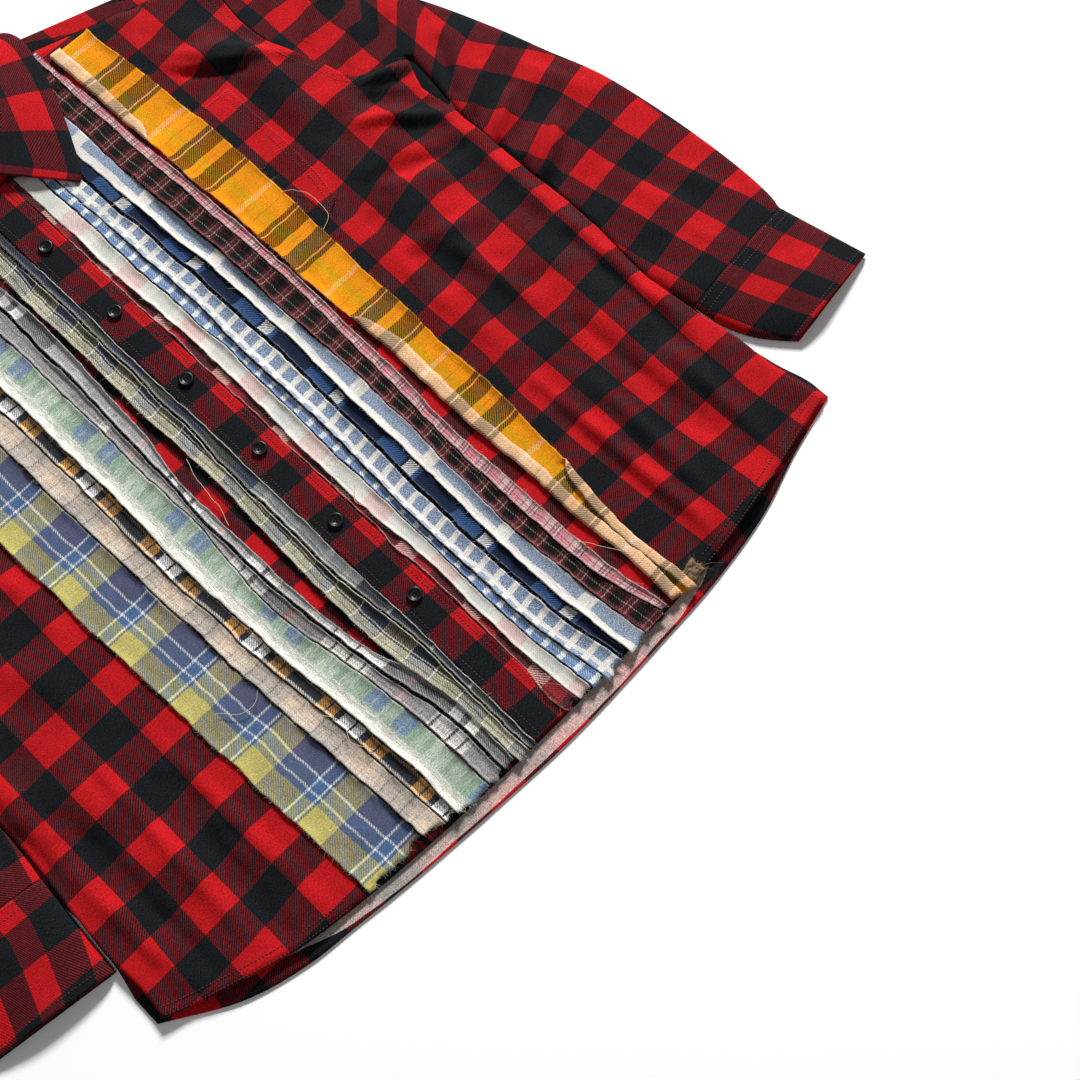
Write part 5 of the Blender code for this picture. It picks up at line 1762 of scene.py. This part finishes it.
# ---------------------------------------------------------------- topstitching
HEM_ROWS = {1: (182, 352), -1: (201, 347)}  # from the strips to the side
PLACKET_ROWS_OF_STITCHING = (-PLACKET_SEWING, PLACKET_SEWING, 16.2, -16.2)
POCKET_ROWS_OF_STITCHING = (1.3, 8.0)


def on_front(x, y, side, lift=0.12):
    """A line on the top of a front's cloth."""
    return spots(x, y, front_middle(x, y, side) + CLOTH / 2 + lift)


def topstitching(lines):
    for side, ends in HEM_ROWS.items():
        x = side * np.linspace(*ends, 90)
        hem = curve(FRONT_HEM["x"], FRONT_HEM["y"], x)
        for up in (HEM_BAND, HEM_BAND - 7.2):
            lines.append(on_front(x, hem + up, side, 0.65))
        y = np.linspace(418, 590, 80)
        lines.append(on_front(side * (body_edge(y, side) - 8.5), y, side))
    y = np.linspace(PLACKET_END + 2, CENTRE_NECK_Y - 6, 240)
    lines += [spots(x, y, ON_FRONT_Z + CLOTH + 0.06) for x in PLACKET_ROWS_OF_STITCHING]
    for inset in POCKET_ROWS_OF_STITCHING:
        y = np.linspace(332, 494 - inset, 70)
        x = np.interp(y, (332, *POCKET["y"]), (196, *POCKET["right"])) - inset
        lines.append(spots(x, y, ON_FRONT_Z + CLOTH + 0.25))
    lines.append(spots(np.linspace(180, 214.5, 20), 492.5, ON_FRONT_Z + CLOTH + 0.2))
    stitches("topstitching", lines, thread)


topstitching(cuff_lines)


# ---------------------------------------------------------------- loose threads
# Ends of yarn and sewing thread that hang from the raw edges: the cloth each comes from, its
# colour and the places that it passes, above the surface that it lies on.
THREADS = [
    (
        "orange_plaid", "pale",
        ((177, 380, 3), (186, 372, 3), (192, 352, 2), (188, 334, 2), (176, 327, 3)),
    ),
    (
        "olive_plaid", "pale",
        ((-47, 252, 3), (-52, 238, 3), (-56, 214, 2), (-58, 198, 2), (-63, 184, 4)),
    ),
    ("blue_yellow", "pale", ((-172, 78, 2), (-160, 64, 3), (-148, 62, 3), (-138, 68, 4))),
    ("white_denim", "pale", ((80, 470, 3), (66, 474, 4), (54, 484, 4), (45, 500, 4))),
    ("pink_check", "pale", ((118, -22, 4), (127, -34, 3), (134, -46, 3), (142, -60, 4))),
    ("orange_plaid", "brown", ((162, -104, 3), (172, -108, 3), (180, -112, 3), (189, -120, 2))),
    ("cream_pink", "pale", ((26, 168, 3), (34, 154, 5), (32, 138, 5), (22, 128, 4), (24, 114, 4))),
    ("maroon_edge", "brown", ((20, -84, 2), (14, -92, 3), (16, -104, 3), (10, -113, 3))),
    ("beige_fuzzy", "pale", ((-118, 20, 4), (-110, 4, 5), (-116, -14, 5), (-108, -30, 5))),
]
THREAD_WIDTH = 0.45


def make_thread(number, finish, stops):
    stops = np.array(stops, float)
    keys = lengths_along(stops[:, :2])
    at = np.linspace(0, keys[-1], 60)
    line = np.stack([curve(keys, stops[:, k], at) for k in range(3)], axis=-1)
    line[:, 0] += 0.8 * wave(at, 7, 300 + number)
    line[:, 2] += ON_FRONT_Z + CLOTH
    line = to_frame(line)
    data = bpy.data.curves.new(f"loose_thread_{number + 1}", "CURVE")
    data.dimensions = "3D"
    data.bevel_depth = THREAD_WIDTH / 2 * MM
    data.bevel_resolution = 1
    data.use_fill_caps = True
    spline = data.splines.new("POLY")
    spline.points.add(len(line) - 1)
    for point, place in zip(spline.points, line):
        point.co = (*place, 1.0)
    made = piece(data.name, data, [finish])


yarns = {
    "pale": raw_edge("pale_loose_yarn", "#C9B496", "#E0D2BA"),
    "brown": raw_edge("maroon_loose_yarn", "#5E2A26", "#8A5A48"),
}
for number, (strip, colour, stops) in enumerate(THREADS):
    make_thread(number, yarns[colour], stops)


# ---------------------------------------------------------------- floor, light and camera
FLOOR_HALF, FLOOR_Z = 6.0, -0.0003
KEY = {"from": (4.3, 3.8, 3.5), "size": 1.5, "power": 745}
FILL = {"from": (-2.4, -1.6, 5.2), "size": 4.0, "power": 34}
WORLD_STRENGTH = 0.16
VIEW = {"azimuth": -46.0, "elevation": 70.0, "distance": 1.28, "lens": 53.33, "sensor": 36}


def make_floor():
    bm = bmesh.new()
    bmesh.ops.create_grid(bm, x_segments=1, y_segments=1, size=FLOOR_HALF)
    for vertex in bm.verts:
        vertex.co.z = FLOOR_Z
    paper, _, shader = start_material("matt_white_paper", 0.9, Specular_IOR_Level=0.1)
    shader.inputs["Base Color"].default_value = linear("#FFFFFF")
    show("floor", mesh_of(bm, "floor"), [paper])


def stand(name, data, place, aim):
    """Puts a lamp or the camera at a place, turned to its aim."""
    made = show(name, data)
    made.location = place
    made.rotation_euler = (Vector(aim) - Vector(place)).to_track_quat("-Z", "Y").to_euler()
    return made


make_floor()
aim = to_frame((103.2, 0, 0))
for name, lamp in (("key", KEY), ("fill", FILL)):
    data = bpy.data.lights.new(name, "AREA")
    data.shape, data.size, data.energy = "DISK", lamp["size"], lamp["power"]
    stand(name, data, aim + np.array(lamp["from"]), aim)
world = bpy.data.worlds.new("studio")
world.use_nodes = True
world.node_tree.nodes["Background"].inputs["Color"].default_value = (1, 1, 1, 1)
world.node_tree.nodes["Background"].inputs["Strength"].default_value = WORLD_STRENGTH
bpy.context.scene.world = world
bpy.context.scene.view_settings.view_transform = "Standard"

camera_data = bpy.data.cameras.new("camera")
camera_data.lens, camera_data.sensor_width = VIEW["lens"], VIEW["sensor"]
camera_data.clip_start = 0.05
azimuth, elevation = np.radians((VIEW["azimuth"], VIEW["elevation"]))
across, up = np.cos(elevation), np.sin(elevation)
toward = np.array((np.sin(azimuth) * across, -np.cos(azimuth) * across, up))
bpy.context.scene.camera = stand("camera", camera_data, aim + toward * VIEW["distance"], aim)
